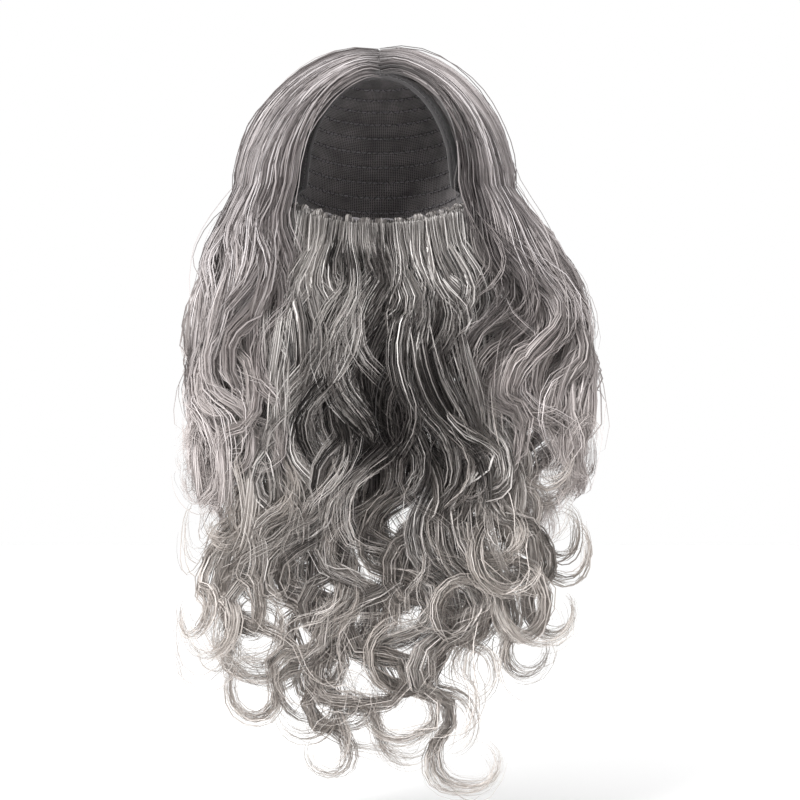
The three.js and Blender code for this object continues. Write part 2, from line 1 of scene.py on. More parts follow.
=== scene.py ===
# %% [markdown]
# # A wizard wig with its beard
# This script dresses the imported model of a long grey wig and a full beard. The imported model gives
# every place and size; the script adds what a solid can't show, which is mostly hair.
# A wig is a stretch cap with rows of hair sewn to it. The hair is fine plastic fibre, blended from
# a few greys and steamed into waves. All sizes below are millimetres until they meet Blender.

import json
from functools import partial

import bmesh
import bpy
import numpy as np
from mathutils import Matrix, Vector

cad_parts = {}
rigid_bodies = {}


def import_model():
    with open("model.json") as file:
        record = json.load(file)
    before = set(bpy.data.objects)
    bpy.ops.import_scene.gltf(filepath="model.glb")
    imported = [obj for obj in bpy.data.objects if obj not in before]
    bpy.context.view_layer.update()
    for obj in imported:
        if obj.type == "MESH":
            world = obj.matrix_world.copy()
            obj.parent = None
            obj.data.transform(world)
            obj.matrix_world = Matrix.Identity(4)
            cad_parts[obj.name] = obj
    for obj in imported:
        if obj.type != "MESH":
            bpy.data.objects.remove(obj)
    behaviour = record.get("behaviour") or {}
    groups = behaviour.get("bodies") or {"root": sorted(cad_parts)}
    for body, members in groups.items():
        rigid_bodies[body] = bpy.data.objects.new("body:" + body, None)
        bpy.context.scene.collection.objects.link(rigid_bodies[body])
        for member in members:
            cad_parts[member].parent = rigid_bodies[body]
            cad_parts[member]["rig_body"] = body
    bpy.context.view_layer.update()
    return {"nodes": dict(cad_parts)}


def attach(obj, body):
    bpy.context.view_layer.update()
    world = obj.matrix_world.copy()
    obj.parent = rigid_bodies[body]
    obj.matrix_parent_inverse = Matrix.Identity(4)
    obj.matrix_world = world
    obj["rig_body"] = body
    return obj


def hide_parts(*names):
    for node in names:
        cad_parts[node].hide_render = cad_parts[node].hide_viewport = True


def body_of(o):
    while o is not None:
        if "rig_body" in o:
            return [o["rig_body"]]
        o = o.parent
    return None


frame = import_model()
MM = 0.001

# %% [markdown]
# ## Camera
# The product is seen straight from the front with a long lens, so the waves don't bulge towards
# the edges of the picture. Two metres away, a 108 mm lens takes in two thirds of a metre.

# %% The camera
CAMERA_PLACE = (0.0175, -2.06, -0.290)
CAMERA_LENS = 108

camera_data = bpy.data.cameras.new("camera")
camera_data.lens = CAMERA_LENS
camera = bpy.data.objects.new("camera", camera_data)
camera.location = CAMERA_PLACE
camera.rotation_euler = (np.pi / 2, 0, 0)
bpy.context.collection.objects.link(camera)
bpy.context.scene.camera = camera

# %% [markdown]
# ## Light
# Hair shows its waves by its highlights, so the main light is broad and comes from above and in
# front. Each crest of a wave then has a bright band and each hollow goes dark. A weaker light
# fills the other side, and the pale room does the rest.

# %% Lights and the pale room
LIGHTS = [
    # name, place in m, width in m, power in W
    ("key", (-1.1, -1.7, 1.0), 0.9, 66),
    ("fill", (0.8, -2.0, -0.3), 1.3, 10),
    ("crown", (-0.5, -0.3, 1.4), 0.9, 6),
]
AIM = Vector((0.0, 0.0, -0.22))
ROOM_STRENGTH = 1.0


def add_light(name, place, width, power):
    data = bpy.data.lights.new(name, "AREA")
    data.size = width
    data.energy = power
    light = bpy.data.objects.new(name, data)
    light.location = place
    light.rotation_euler = (AIM - Vector(place)).to_track_quat("-Z", "Y").to_euler()
    bpy.context.collection.objects.link(light)


for row in LIGHTS:
    add_light(*row)

world = bpy.data.worlds.new("pale room")
world.use_nodes = True
world.node_tree.nodes["Background"].inputs["Color"].default_value = (1, 1, 1, 1)
world.node_tree.nodes["Background"].inputs["Strength"].default_value = ROOM_STRENGTH
bpy.context.scene.world = world
bpy.context.scene.view_settings.view_transform = "Standard"

# %% [markdown]
# ## Small helpers
# Colours are written as they look on a screen, and Blender works with linear light, so one
# function turns one into the other. Another adds a node with its settings and its links, which
# keeps a material near one line for each node. Two more start a tree or a material the same way
# every time.


# %% Helpers for colours, nodes and meshes
def linear(hex_colour):
    """The linear colour of a hex value, by the curve of the sRGB standard."""
    values = [int(hex_colour[i : i + 2], 16) / 255 for i in (1, 3, 5)]
    return tuple(v / 12.92 if v <= 0.04045 else ((v + 0.055) / 1.055) ** 2.4 for v in values) + (1.0,)


def fill(node, inputs):
    """Sets a node's inputs, by name or number. One given another node's output is linked to it."""
    for key, value in inputs.items():
        if isinstance(value, bpy.types.NodeSocket):
            node.id_data.links.new(value, node.inputs[key])
        else:
            node.inputs[key].default_value = value


def add_node(tree, kind, inputs=(), out=0, **settings):
    """Adds a node with its settings and inputs, and gives back one of its outputs."""
    node = tree.nodes.new(kind)
    for key, value in settings.items():
        setattr(node, key, value)
    fill(node, inputs if isinstance(inputs, dict) else dict(enumerate(inputs)))
    return node.outputs[out] if node.outputs else node


MATH, VECTOR, MAP_RANGE = "ShaderNodeMath", "ShaderNodeVectorMath", "ShaderNodeMapRange"


def started_tree(name, sockets):
    """A tree of Geometry Nodes with named inputs, the function that adds to it, and what is given."""
    tree = bpy.data.node_groups.new(name, "GeometryNodeTree")
    for title, kind, value in [("Geometry", "Geometry", None), *sockets]:
        socket = tree.interface.new_socket(title, in_out="INPUT", socket_type="NodeSocket" + kind)
        if value is not None:
            socket.default_value = value
    tree.interface.new_socket("Geometry", in_out="OUTPUT", socket_type="NodeSocketGeometry")
    add = partial(add_node, tree)
    return tree, add, add("NodeGroupInput").node.outputs


def started_material(name):
    """A new material, its shader and the function that adds nodes to it."""
    material = bpy.data.materials.new(name)
    material.use_nodes = True
    return material, material.node_tree.nodes["Principled BSDF"], partial(add_node, material.node_tree)


def set_ramp(ramp, shades):
    stops = ramp.node.color_ramp.elements
    for number, (position, colour) in enumerate((shades[0], shades[-1])):
        stops[number].position = position
        stops[number].color = linear(colour)
    for position, colour in shades[1:-1]:
        stops.new(position).color = linear(colour)


def mesh_object(name, vertices, faces=(), edges=()):
    mesh = bpy.data.meshes.new(name)
    mesh.from_pydata((np.asarray(vertices) * MM).tolist(), list(edges), list(faces))
    piece = bpy.data.objects.new(name, mesh)
    bpy.context.collection.objects.link(piece)
    return piece


def triangles_of(piece):
    return sum(len(face.vertices) - 2 for face in piece.data.polygons)


# %% [markdown]
# ## The shape of the hair
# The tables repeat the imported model's: how far the hair reaches to each side, the front and the
# back at each height, and one row for each guide that the hair follows. A guide starts beside the
# parting, passes the temple and the ear, and hangs to its tip. `crest` is the height of one crest
# of its wave, and `curl` the radius and the side of the turn at its tip.

# %% Tables of the hair's shape
WIG_MASS = np.array([
    # height, left, right, front, back
    (-110, 122, 114, 96, 118), (-140, 136, 134, 96, 119), (-180, 148, 160, 97, 121),
    (-225, 160, 182, 99, 123), (-300, 163, 181, 101, 125), (-360, 158, 174, 101, 123),
    (-410, 142, 152, 98, 114),
], dtype=float)
BEARD_MASS = np.array([
    (-125, 84, 84, 105, 105), (-145, 86, 86, 109, 109), (-180, 92, 92, 115, 115),
    (-225, 100, 100, 120, 120), (-300, 114, 117, 119, 119), (-400, 134, 140, 114, 114),
    (-470, 148, 158, 108, 108), (-530, 132, 140, 103, 103), (-600, 104, 116, 98, 98),
], dtype=float)
LEFT_GUIDES = [
    # root, temple, ear, hem, tip, crest, curl
    (-53, 29, 39, 30, -322, -170, 17), (-46, 38, 52, 47, -352, -192, 20),
    (-37, 49, 64, 62, -372, -215, 22), (-25, 63, 78, 78, -384, -230, 22),
    (-11, 82, 93, 95, -376, -215, -20), (5, 104, 109, 110, -380, -192, 18),
    (19, 128, 125, 125, -388, -175, -18),
]
BACK_GUIDES = [
    (28, 145, 143, 143, -386, -180, 18), (34, 162, 161, 161, -392, -195, 18),
    (36, 180, 180, 180, -396, -210, -18), (34, 198, 199, 199, -392, -225, -18),
    (28, 215, 217, 217, -386, -236, -18),
]
RIGHT_GUIDES = [
    (-53, 37, 42, 25, -330, -205, 17), (-46, 44, 53, 43, -346, -222, 20),
    (-37, 50, 64, 60, -352, -240, 21), (-25, 64, 78, 77, -346, -225, -20),
    (-11, 82, 93, 95, -352, -240, -20), (5, 104, 109, 110, -372, -262, -18),
    (19, 128, 125, 125, -388, -244, -18),
]
BEARD_GUIDES = [
    # top, hem, tip, crest, curl
    (-61, -66, -456, -255, -22), (-48, -54, -482, -262, -26), (-36, -42, -506, -258, -26),
    (-25, -31, -532, -222, 24), (-14, -19, -560, -196, 24), (-4, -6, -574, -190, -22),
    (6, 7, -572, -196, 24), (16, 19, -566, -200, -22), (27, 31, -540, -194, -26),
    (38, 42, -504, -205, 24), (50, 54, -482, -205, 26), (61, 66, -460, -180, 22),
]
EAR_Z = -110.0
HAIR_TOP_Z = 12.0
TEMPLE_POLAR = np.radians(50)
ROOT_FROM_MIDDLE = 0.9
ROOT_DIP = 3.5
WAVE_LENGTH = 140.0
WAVE_GROWS_OVER = 75.0
BEARD_HALF_ANGLE = np.radians(66)
BEARD_TOP_MIDDLE_Z = -143.0
BEARD_TOP_CORNER_Z = -124.0
EDGE_HEIGHT = 7.0

# %% [markdown]
# ## From guides to locks
# Hair never hangs as single fibres: it clings together in locks as thick as a finger, and every
# lock waves as one. So the script lays out locks first. A lock has a place between two guides and
# a depth under the surface, and it takes its wave from the guides with a small difference of its
# own. Towards the tip the wave gets shorter and rounder until it ends in an open ring.


# %% Reading the tables
def column_at(table, column, z):
    heights, values = table[::-1, 0], table[::-1, column]
    slopes = np.empty_like(values)
    slopes[1:-1] = (values[2:] - values[:-2]) / (heights[2:] - heights[:-2])
    slopes[0] = (values[1] - values[0]) / (heights[1] - heights[0])
    slopes[-1] = (values[-1] - values[-2]) / (heights[-1] - heights[-2])
    i = np.clip(np.searchsorted(heights, z) - 1, 0, len(heights) - 2)
    step = heights[i + 1] - heights[i]
    t = np.clip((z - heights[i]) / step, 0, 1)
    return (
        (2 * t**3 - 3 * t**2 + 1) * values[i]
        + (t**3 - 2 * t**2 + t) * step * slopes[i]
        + (3 * t**2 - 2 * t**3) * values[i + 1]
        + (t**3 - t**2) * step * slopes[i + 1]
    )


def mass_point(table, azimuth, z):
    """The outside of the hair at an azimuth from the front's middle, with its ways out and across."""
    wide = np.where(np.sin(azimuth) < 0, column_at(table, 1, z), column_at(table, 2, z))
    deep = np.where(np.cos(azimuth) > 0, column_at(table, 3, z), column_at(table, 4, z))
    point = points(wide * np.sin(azimuth), -deep * np.cos(azimuth), z)
    across = unit(points(wide * np.cos(azimuth), deep * np.sin(azimuth), 0.0))
    out = points(across[..., 1], -across[..., 0], 0.0)
    return point, out, across


def points(x, y, z):
    return np.stack(np.broadcast_arrays(x, y, z), axis=-1).astype(float)


def unit(vectors):
    return vectors / np.maximum(np.linalg.norm(vectors, axis=-1, keepdims=True), 1e-9)


def smoothstep(value, low, high):
    t = np.clip((value - low) / (high - low), 0, 1)
    return t * t * (3 - 2 * t)


def placed(rows, side, start_degrees=0.0):
    """Guide rows with signed azimuths in radians: side, root, temple, ear, hem, tip, crest, curl."""
    made = []
    for root, temple, ear, hem, tip, crest, curl in rows:
        angles = [np.radians(start_degrees + side * angle) for angle in (temple, ear, hem)]
        made.append([side, root, *angles, tip, crest, curl * side])
    return made


wig_rows = placed(LEFT_GUIDES, -1) + placed(BACK_GUIDES, -1) + placed(RIGHT_GUIDES, 1, -360)[::-1]
wig_guides = np.array(wig_rows)
beard_guides = np.array([[np.radians(top), np.radians(hem), *rest] for top, hem, *rest in BEARD_GUIDES])
LEFT_END = len(LEFT_GUIDES) - 0.5
BACK_END = LEFT_END + len(BACK_GUIDES)


def guides_at(guides, place):
    low = np.clip(np.floor(place).astype(int), 0, len(guides) - 2)
    share = (place - low)[:, None]
    return (guides[low] * (1 - share) + guides[low + 1] * share).T


# %% [markdown]
# ## One path for each lock
# The path of a lock has three stretches. Over the crown it follows the cap, from the parting to
# the ear. Below the ear it hangs and waves. A plain sine is too stiff for curly hair, which swings
# out and hangs back a little at each bend like a slow river, so each bend is rounded by moving its
# points along the lock too. The last stretch is the ring, whose radius shrinks as it turns. At the
# sides the rings are turned a little to the front, as they fall when the hair rests on shoulders.
# The points lie closer together towards the tip, where the bends are tighter.

# %% Paths of the locks
CROWN_STATIONS = 13
WIG_STATIONS = 20
BEARD_STATIONS = 34
CURL_STATIONS = 13
BEND_TIGHTENS = 7e-5
CLOSER_BELOW = 0.92
RINGS_TO_FRONT = 1.6
LOOSE_FROM = np.array([[-128.0, -105.0, -585.0], [150.0, 100.0, 0.0]])
LOOSE_TO = np.array([[-177.0, -126.0, -618.0], [194.0, 131.0, 40.0]])
WAVES_SHORTEN_FROM = 0.45  # as a share of the way down
WAVE_WIDENS = 0.7
ROUND_AT_TOP, ROUND_ADDED = 0.3, 0.9
RING_TIGHTENS = 0.4
rng = np.random.default_rng(11)


def crown_path(side, root, temple, ear, from_share):
    """Directions over the crown through the root, the temple and the ear, for shares of the way."""
    front = np.where(root < 0, WIG_MASS[0, 3], WIG_MASS[0, 4])
    root_x, root_y = side * ROOT_FROM_MIDDLE / WIG_MASS[0, 1], root / front
    start = points(root_x, root_y, np.sqrt(1 - root_x**2 - root_y**2))
    level = np.sin(TEMPLE_POLAR)
    middle = points(level * np.sin(temple), -level * np.cos(temple), np.cos(TEMPLE_POLAR))
    end = points(np.sin(ear), -np.cos(ear), 0.0)
    share = from_share[:, None] + (1 - from_share[:, None]) * np.arange(CROWN_STATIONS) / CROWN_STATIONS
    s = share[..., None]
    weights = (2 * s - 1) * (s - 1), 4 * s * (1 - s), s * (2 * s - 1)
    way = unit(start[:, None] * weights[0] + middle[:, None] * weights[1] + end[:, None] * weights[2])
    wide = np.where(way[..., 0] < 0, WIG_MASS[0, 1], WIG_MASS[0, 2])
    deep = np.where(way[..., 1] < 0, WIG_MASS[0, 3], WIG_MASS[0, 4])
    point = points(wide * way[..., 0], deep * way[..., 1], EAR_Z + (HAIR_TOP_Z - EAR_Z) * way[..., 2])
    return point, way


def hanging_path(table, azimuth_top, azimuth_hem, top_z, lock, reach, stations):
    """The waving stretch of each lock, from top_z to its tip."""
    share = np.linspace(0, 1, stations)[None] ** CLOSER_BELOW
    z = top_z[:, None] + (lock["tip"] - top_z)[:, None] * share
    azimuth = azimuth_top[:, None] + (azimuth_hem - azimuth_top)[:, None] * share
    below = top_z[:, None] - z
    grown = smoothstep(below, 0, WAVE_GROWS_OVER)
    low = np.maximum(below - WAVES_SHORTEN_FROM * (top_z - lock["tip"])[:, None], 0)
    wave_length = WAVE_LENGTH * lock["length"][:, None]
    phase = 2 * np.pi * (z - lock["crest"][:, None]) / wave_length - BEND_TIGHTENS * low**2
    wave = reach * lock["reach"][:, None] * grown * (1 + WAVE_WIDENS * share**2) * np.cos(phase)
    roundness = lock["round"][:, None] * (ROUND_AT_TOP + ROUND_ADDED * share**2)
    rounding = roundness * grown * wave_length / (4 * np.pi)
    z_rounded = z + rounding * np.sin(2 * phase)
    point, out, across = mass_point(table, azimuth, z_rounded)
    swell = lock["swell"][:, None] * grown * np.sin(phase + lock["turn"][:, None])
    return point + across * wave[..., None] + out * swell[..., None], out, across


def turned_end(point, out, lock):
    """The open ring at the tip: it goes on from the lock's last step and tightens."""
    step = unit(point[:, -1] - point[:, -2])
    sideways = 1 - np.abs(out[:, -1, 1:2])
    axis = unit(out[:, -1] + np.array([[0, -RINGS_TO_FRONT, 0]]) * sideways)
    toward = np.sign(lock["curl"])[:, None]
    radius = np.abs(lock["curl"])[:, None]
    ring = []
    last = point[:, -1]
    for i in range(CURL_STATIONS):
        angle = lock["turns"][:, None] / CURL_STATIONS
        step = unit(step * np.cos(angle) + np.cross(axis, step) * toward * np.sin(angle))
        shrink = 1 - RING_TIGHTENS * i / CURL_STATIONS
        last = last + step * radius * shrink * angle + axis * lock["drift"][:, None] / CURL_STATIONS
        ring.append(last)
    return np.stack(ring, axis=1)


def held_in(point):
    """Points far out are drawn back softly, so that no ring stands off from the rest of the hair."""
    for low, high, way in zip(LOOSE_FROM, LOOSE_TO, (-1, 1)):
        room = np.abs(high - low)
        past = np.maximum((point - low) * way, 0)
        point = point - way * (past - room * np.tanh(past / room))
    return point


def frames_of(point, out):
    """Ways out and sideways, square to each path."""
    along = unit(np.gradient(point, axis=1))
    out = unit(out - along * np.sum(out * along, axis=-1, keepdims=True))
    return out, np.cross(out, along)


# %% [markdown]
# ## Dealing out the locks
# Places are dealt evenly with a little chance, so that no stripe stays bare, in three layers: a
# long outer one that shows the waves, a shorter middle one and an inner one. Each layer further in
# is coloured darker, as painted shade under the hair above it, so the inner one is dark. Most
# neighbours cling together by twos and threes as a clump: they share one wave and one ring and draw
# closer towards the tip, so that light shows between the ringlets. Some clumps are cut shorter than
# the others, which breaks the hem into steps the way layered hair does.
# Painted shade: down the middle of the beard the hair is coloured darker, for the shadow in the gap
# between its locks, and so is the hair along the right hairline, for the shade under it. The whole
# right half of the wig is coloured a little darker too, as painted shade on the side away from the
# main light. This makes the hair look deep there.


# %% Locks of the wig and the beard
# Painted shade: a darker patch in the middle of the beard, for the shadow in the gap between locks
PAINTED_SHADE_MIDDLE, PAINTED_SHADE_REACH, PAINTED_SHADE_BY = np.array([34.0, -312.0]), np.array([52.0, 90.0]), 0.52
WIG_STEPS = [0, 0, 0, 26, 26, 60]
BEARD_STEPS = [0, 0, 20, 40, 60, 95]
CLUMP_SIZES = [1, 2, 2, 3]
GATHER = 0.8
# Painted shade on the right half of the wig, the side away from the main light
RIGHT_HALF_PAINTED_SHADE = 0.05
# Painted shade under the hair along the right hairline, and the places that it covers
HAIRLINE_PAINTED_SHADE, HAIRLINE_PLACES = 0.3, (17.3, 17.9)
WIG_REACH, BEARD_REACH = 12.0, 13.0
LAYER_STEP, DEPTH_SPREAD = 5.0, 3.0
# How much of its depth a lock has at the crown, the ear and the beard's top, where hair lies closer
DEPTH_AT_CROWN, DEPTH_AT_EAR, DEPTH_AT_BEARD_TOP = 0.5, 0.6, 0.4
INNER_STARTS_BY, SECOND_DIP = 0.5, 0.25
WIG_PARTS, BEARD_PARTS = (0.22, 0.6), (0.06, 0.42)
BEARD_TOP_POWER = 2.2
# What a lock draws by chance: the spread or the least and most that its clump shares, then its own
TIP_SPREAD, TIP_OWN, UNDER_SHORTER = 9, 3, 40
CREST_SPREAD, CREST_OWN = 20.0, 3
LENGTH_SPAN, ROUND_SPAN, SWELL_SPAN = (0.85, 1.2), (0.3, 0.8), (4.0, 12.0)
REACH_SPAN, REACH_OWN = (0.75, 1.4), (0.9, 1.1)
RING_SPAN, RING_OTHER_WAY = (0.75, 1.25), 0.2
TURN_SPAN, TURN_OWN = (130, 330), 12
DRIFT_SPAN, DRIFT_OWN = (-12, 10), 2
# LAYER_PAINTED_SHADE: painted shade, each layer further in is coloured darker by this much
SHADE_MIDDLE, LAYER_PAINTED_SHADE, SHADE_OWN = 0.54, 0.17, 0.08
SWELL_LESS_UNDER = 0.3


def dealt(count, low, high):
    return low + (high - low) * (np.arange(count) + rng.uniform(0.1, 0.9, count)) / count


def clumped(place):
    """The clump of each lock, and the place of the middle of that clump."""
    clump = np.repeat(np.arange(len(place)), rng.choice(CLUMP_SIZES, len(place)))[: len(place)]
    middle = np.bincount(clump, place) / np.bincount(clump)
    return clump, middle[clump]


def lock_table(clump, guides, centre, layer, steps, ring_size, shade_spread):
    """The chances of each lock: most are shared by its clump, with a little of its own."""
    count = len(clump)
    tip, crest = guides_at(guides, centre)[-3:-1]
    curl = guides[np.clip(np.rint(centre).astype(int), 0, len(guides) - 1), -1]

    def shared(draw, *settings):
        return draw(*settings, count)[clump]

    def own(spread):
        return rng.normal(0, spread, count)

    under = max(layer, 0)
    # Deeper layers get painted shade in their colour
    shade = SHADE_MIDDLE - LAYER_PAINTED_SHADE * layer
    return {
        "tip": tip + shared(rng.normal, 0, TIP_SPREAD) + shared(rng.choice, steps) + own(TIP_OWN)
        + UNDER_SHORTER * under,
        "crest": crest + shared(rng.normal, 0, CREST_SPREAD) + own(CREST_OWN),
        "length": shared(rng.uniform, *LENGTH_SPAN),
        "reach": shared(rng.uniform, *REACH_SPAN) * rng.uniform(*REACH_OWN, count),
        "round": shared(rng.uniform, *ROUND_SPAN),
        "swell": shared(rng.uniform, *SWELL_SPAN) * (1 - SWELL_LESS_UNDER * under),
        "turn": shared(rng.uniform, 0, 2 * np.pi),
        "curl": curl * ring_size * shared(rng.uniform, *RING_SPAN)
        * np.where(shared(rng.uniform, 0, 1) < RING_OTHER_WAY, -1, 1),
        "turns": np.radians(shared(rng.uniform, *TURN_SPAN) + own(TURN_OWN)),
        "drift": shared(rng.uniform, *DRIFT_SPAN) + own(DRIFT_OWN),
        "shade": np.clip(shared(rng.normal, shade, shade_spread) + own(SHADE_OWN), 0, 1),
    }


def wig_locks(count, low, high, layer, wilder=1.0):
    place = dealt(count, low, high)
    clump, centre = clumped(place)
    root, temple, ear = guides_at(wig_guides, place)[1:4]
    hem = guides_at(wig_guides, place + GATHER * (centre - place))[4]
    side = np.where(place < (LEFT_END + BACK_END) / 2, -1.0, 1.0)
    lock = lock_table(clump, wig_guides, centre, layer, WIG_STEPS, ring_size=0.85, shade_spread=0.09)
    # Painted shade: the right half of the wig is coloured a little darker
    lock["shade"] -= RIGHT_HALF_PAINTED_SHADE * (side > 0)
    # Painted shade: locks near the right hairline are coloured darker
    lock["shade"] -= HAIRLINE_PAINTED_SHADE * smoothstep(place, *HAIRLINE_PLACES)
    lock["reach"] *= wilder
    # Inner locks may start part of the way down the crown
    from_share = np.zeros(count) if layer < 1 else rng.uniform(0, INNER_STARTS_BY, count)
    crown, crown_out = crown_path(side, root, temple, ear, from_share)
    top_z = np.full(count, EAR_Z)
    hanging, hanging_out, _ = hanging_path(WIG_MASS, ear, hem, top_z, lock, WIG_REACH, WIG_STATIONS)
    point = np.concatenate([crown, hanging], axis=1)
    out = np.concatenate([crown_out, hanging_out], axis=1)
    inset = layer * LAYER_STEP + rng.uniform(0, DEPTH_SPREAD, count)
    hanging_depth = np.linspace(DEPTH_AT_EAR, 1, WIG_STATIONS)
    deeper = np.concatenate([np.full(CROWN_STATIONS, DEPTH_AT_CROWN), hanging_depth])
    # At the parting the hair dips into the cap
    dip = np.zeros(point.shape[:2])
    dip[:, :2] = np.where(from_share[:, None] < 0.05, [[ROOT_DIP, SECOND_DIP * ROOT_DIP]], 0)
    point = point - out * (inset[:, None] * deeper[None] + dip)[..., None]
    return finished_locks(point, out, lock, WIG_PARTS)


def beard_top_z(azimuth):
    rise = np.abs(np.sin(azimuth) / np.sin(BEARD_HALF_ANGLE)) ** BEARD_TOP_POWER
    return BEARD_TOP_MIDDLE_Z + (BEARD_TOP_CORNER_Z - BEARD_TOP_MIDDLE_Z) * rise


def beard_locks(count, low, high, layer):
    place = dealt(count, low, high)
    clump, centre = clumped(place)
    top = guides_at(beard_guides, place)[0]
    hem = guides_at(beard_guides, place + GATHER * (centre - place))[1]
    lock = lock_table(clump, beard_guides, centre, layer, BEARD_STEPS, ring_size=1.1, shade_spread=0.17)
    root_z = beard_top_z(top) - 0.5 * EDGE_HEIGHT
    point, out, _ = hanging_path(BEARD_MASS, top, hem, root_z, lock, BEARD_REACH, BEARD_STATIONS)
    inset = layer * LAYER_STEP + rng.uniform(0, DEPTH_SPREAD, count)
    deeper = np.linspace(DEPTH_AT_BEARD_TOP, 1, BEARD_STATIONS)
    point = point - out * (inset[:, None] * deeper[None])[..., None]
    locks = finished_locks(point, out, lock, BEARD_PARTS)
    # Painted shade in the beard's middle, darkest at its centre
    away = (locks["point"][..., [0, 2]] - PAINTED_SHADE_MIDDLE) / PAINTED_SHADE_REACH
    locks["shade"] -= PAINTED_SHADE_BY * np.exp(-np.sum(away**2, axis=-1))
    return locks


# %% [markdown]
# A lock is a little wider than the way to its neighbour, so that no cap shows between them. Over
# the stretch where the hair parts into ringlets it narrows to a third, and it gets deeper instead.

# %% Widths of the locks
OVERLAP, NARROWS_BY, WIDTH_OWN, THINNEST = 1.2, 0.7, (0.75, 1.25), 1.5
DEPTH_AT_ROOT, DEPTH_ADDED, DEEPENS_OVER = 0.8, 2.6, (0.1, 0.5)
SPACING_SPAN = (3.0, 13.0)


def finished_locks(point, out, lock, parts_over):
    ring = turned_end(point, out, lock)
    point = held_in(np.concatenate([point, ring], axis=1))
    out = np.concatenate([out, np.repeat(out[:, -1:], CURL_STATIONS, axis=1)], axis=1)
    out, side = frames_of(point, out)
    share = np.linspace(0, 1, point.shape[1])[None]
    wide = OVERLAP * lock_spacing(point) * (1 - NARROWS_BY * smoothstep(share, *parts_over))
    wide = np.maximum(wide * rng.uniform(*WIDTH_OWN, len(point))[:, None], THINNEST)
    even = np.ones_like(wide)
    deep = (DEPTH_AT_ROOT + DEPTH_ADDED * smoothstep(share, *DEEPENS_OVER)) * even
    shade = lock["shade"][:, None] * even
    return {"point": point, "out": out, "side": side, "wide": wide, "deep": deep, "shade": shade}


def lock_spacing(point):
    """Half the way from each lock to the next one beside it, smoothed."""
    gaps = np.linalg.norm(np.diff(point, axis=0), axis=-1)
    between = 0.5 * (np.vstack([gaps[:1], gaps]) + np.vstack([gaps, gaps[-1:]]))
    return np.clip(np.median(between, axis=0)[None] * np.ones_like(between), *SPACING_SPAN)


# %% [markdown]
# ## Strands by nodes
# The nodes copy each lock's path many times, push every copy a little to the side and inwards,
# bend it with a slow noise of its own, cut it to a length of its own, and sweep a flat ribbon
# along it. Flat ribbons are how fibre is drawn when there are thousands of it: two triangles a
# step instead of a tube's twelve. Each ribbon leans at its own angle, so some catch the light
# while their neighbours don't, and every ribbon gets its own narrow field in the texture map.

# %% The strand nodes
FIELD_ROWS = 16
FIELD_SIDE, FIELD_END = 0.15, 0.02
STRAND_CHANCES = [
    # name, least, most
    ("go_side", -1.3, 1.3), ("nearer", -1.0, 1.0), ("go_deep", -1.0, 1.0), ("own", 0.0, 1.0),
    ("wild", 0.0, 1.0), ("lean", -0.8, 0.8), ("cut", 0.0, 1.0),
]
CROWDED, SCATTERED = 0.35, 0.85
CALM, WILDEST, FEW_ARE_WILD = 0.35, 4.0, 9.0
FRIZZ_AT_ROOT, FRIZZ_GROWS = 0.22, 1.3
NOISES_APART = 900.0
MOST_ARE_LONG = 0.6
ROOT_OPENS, TIP_CLOSES = 14.0, 5.0
ROOT_STUB, TIP_STUB = 0.03, 0.04
THIN_STRAND, THICK_ADDS = 0.7, 0.6
ATTRIBUTE, STORE = "GeometryNodeInputNamedAttribute", "GeometryNodeStoreNamedAttribute"


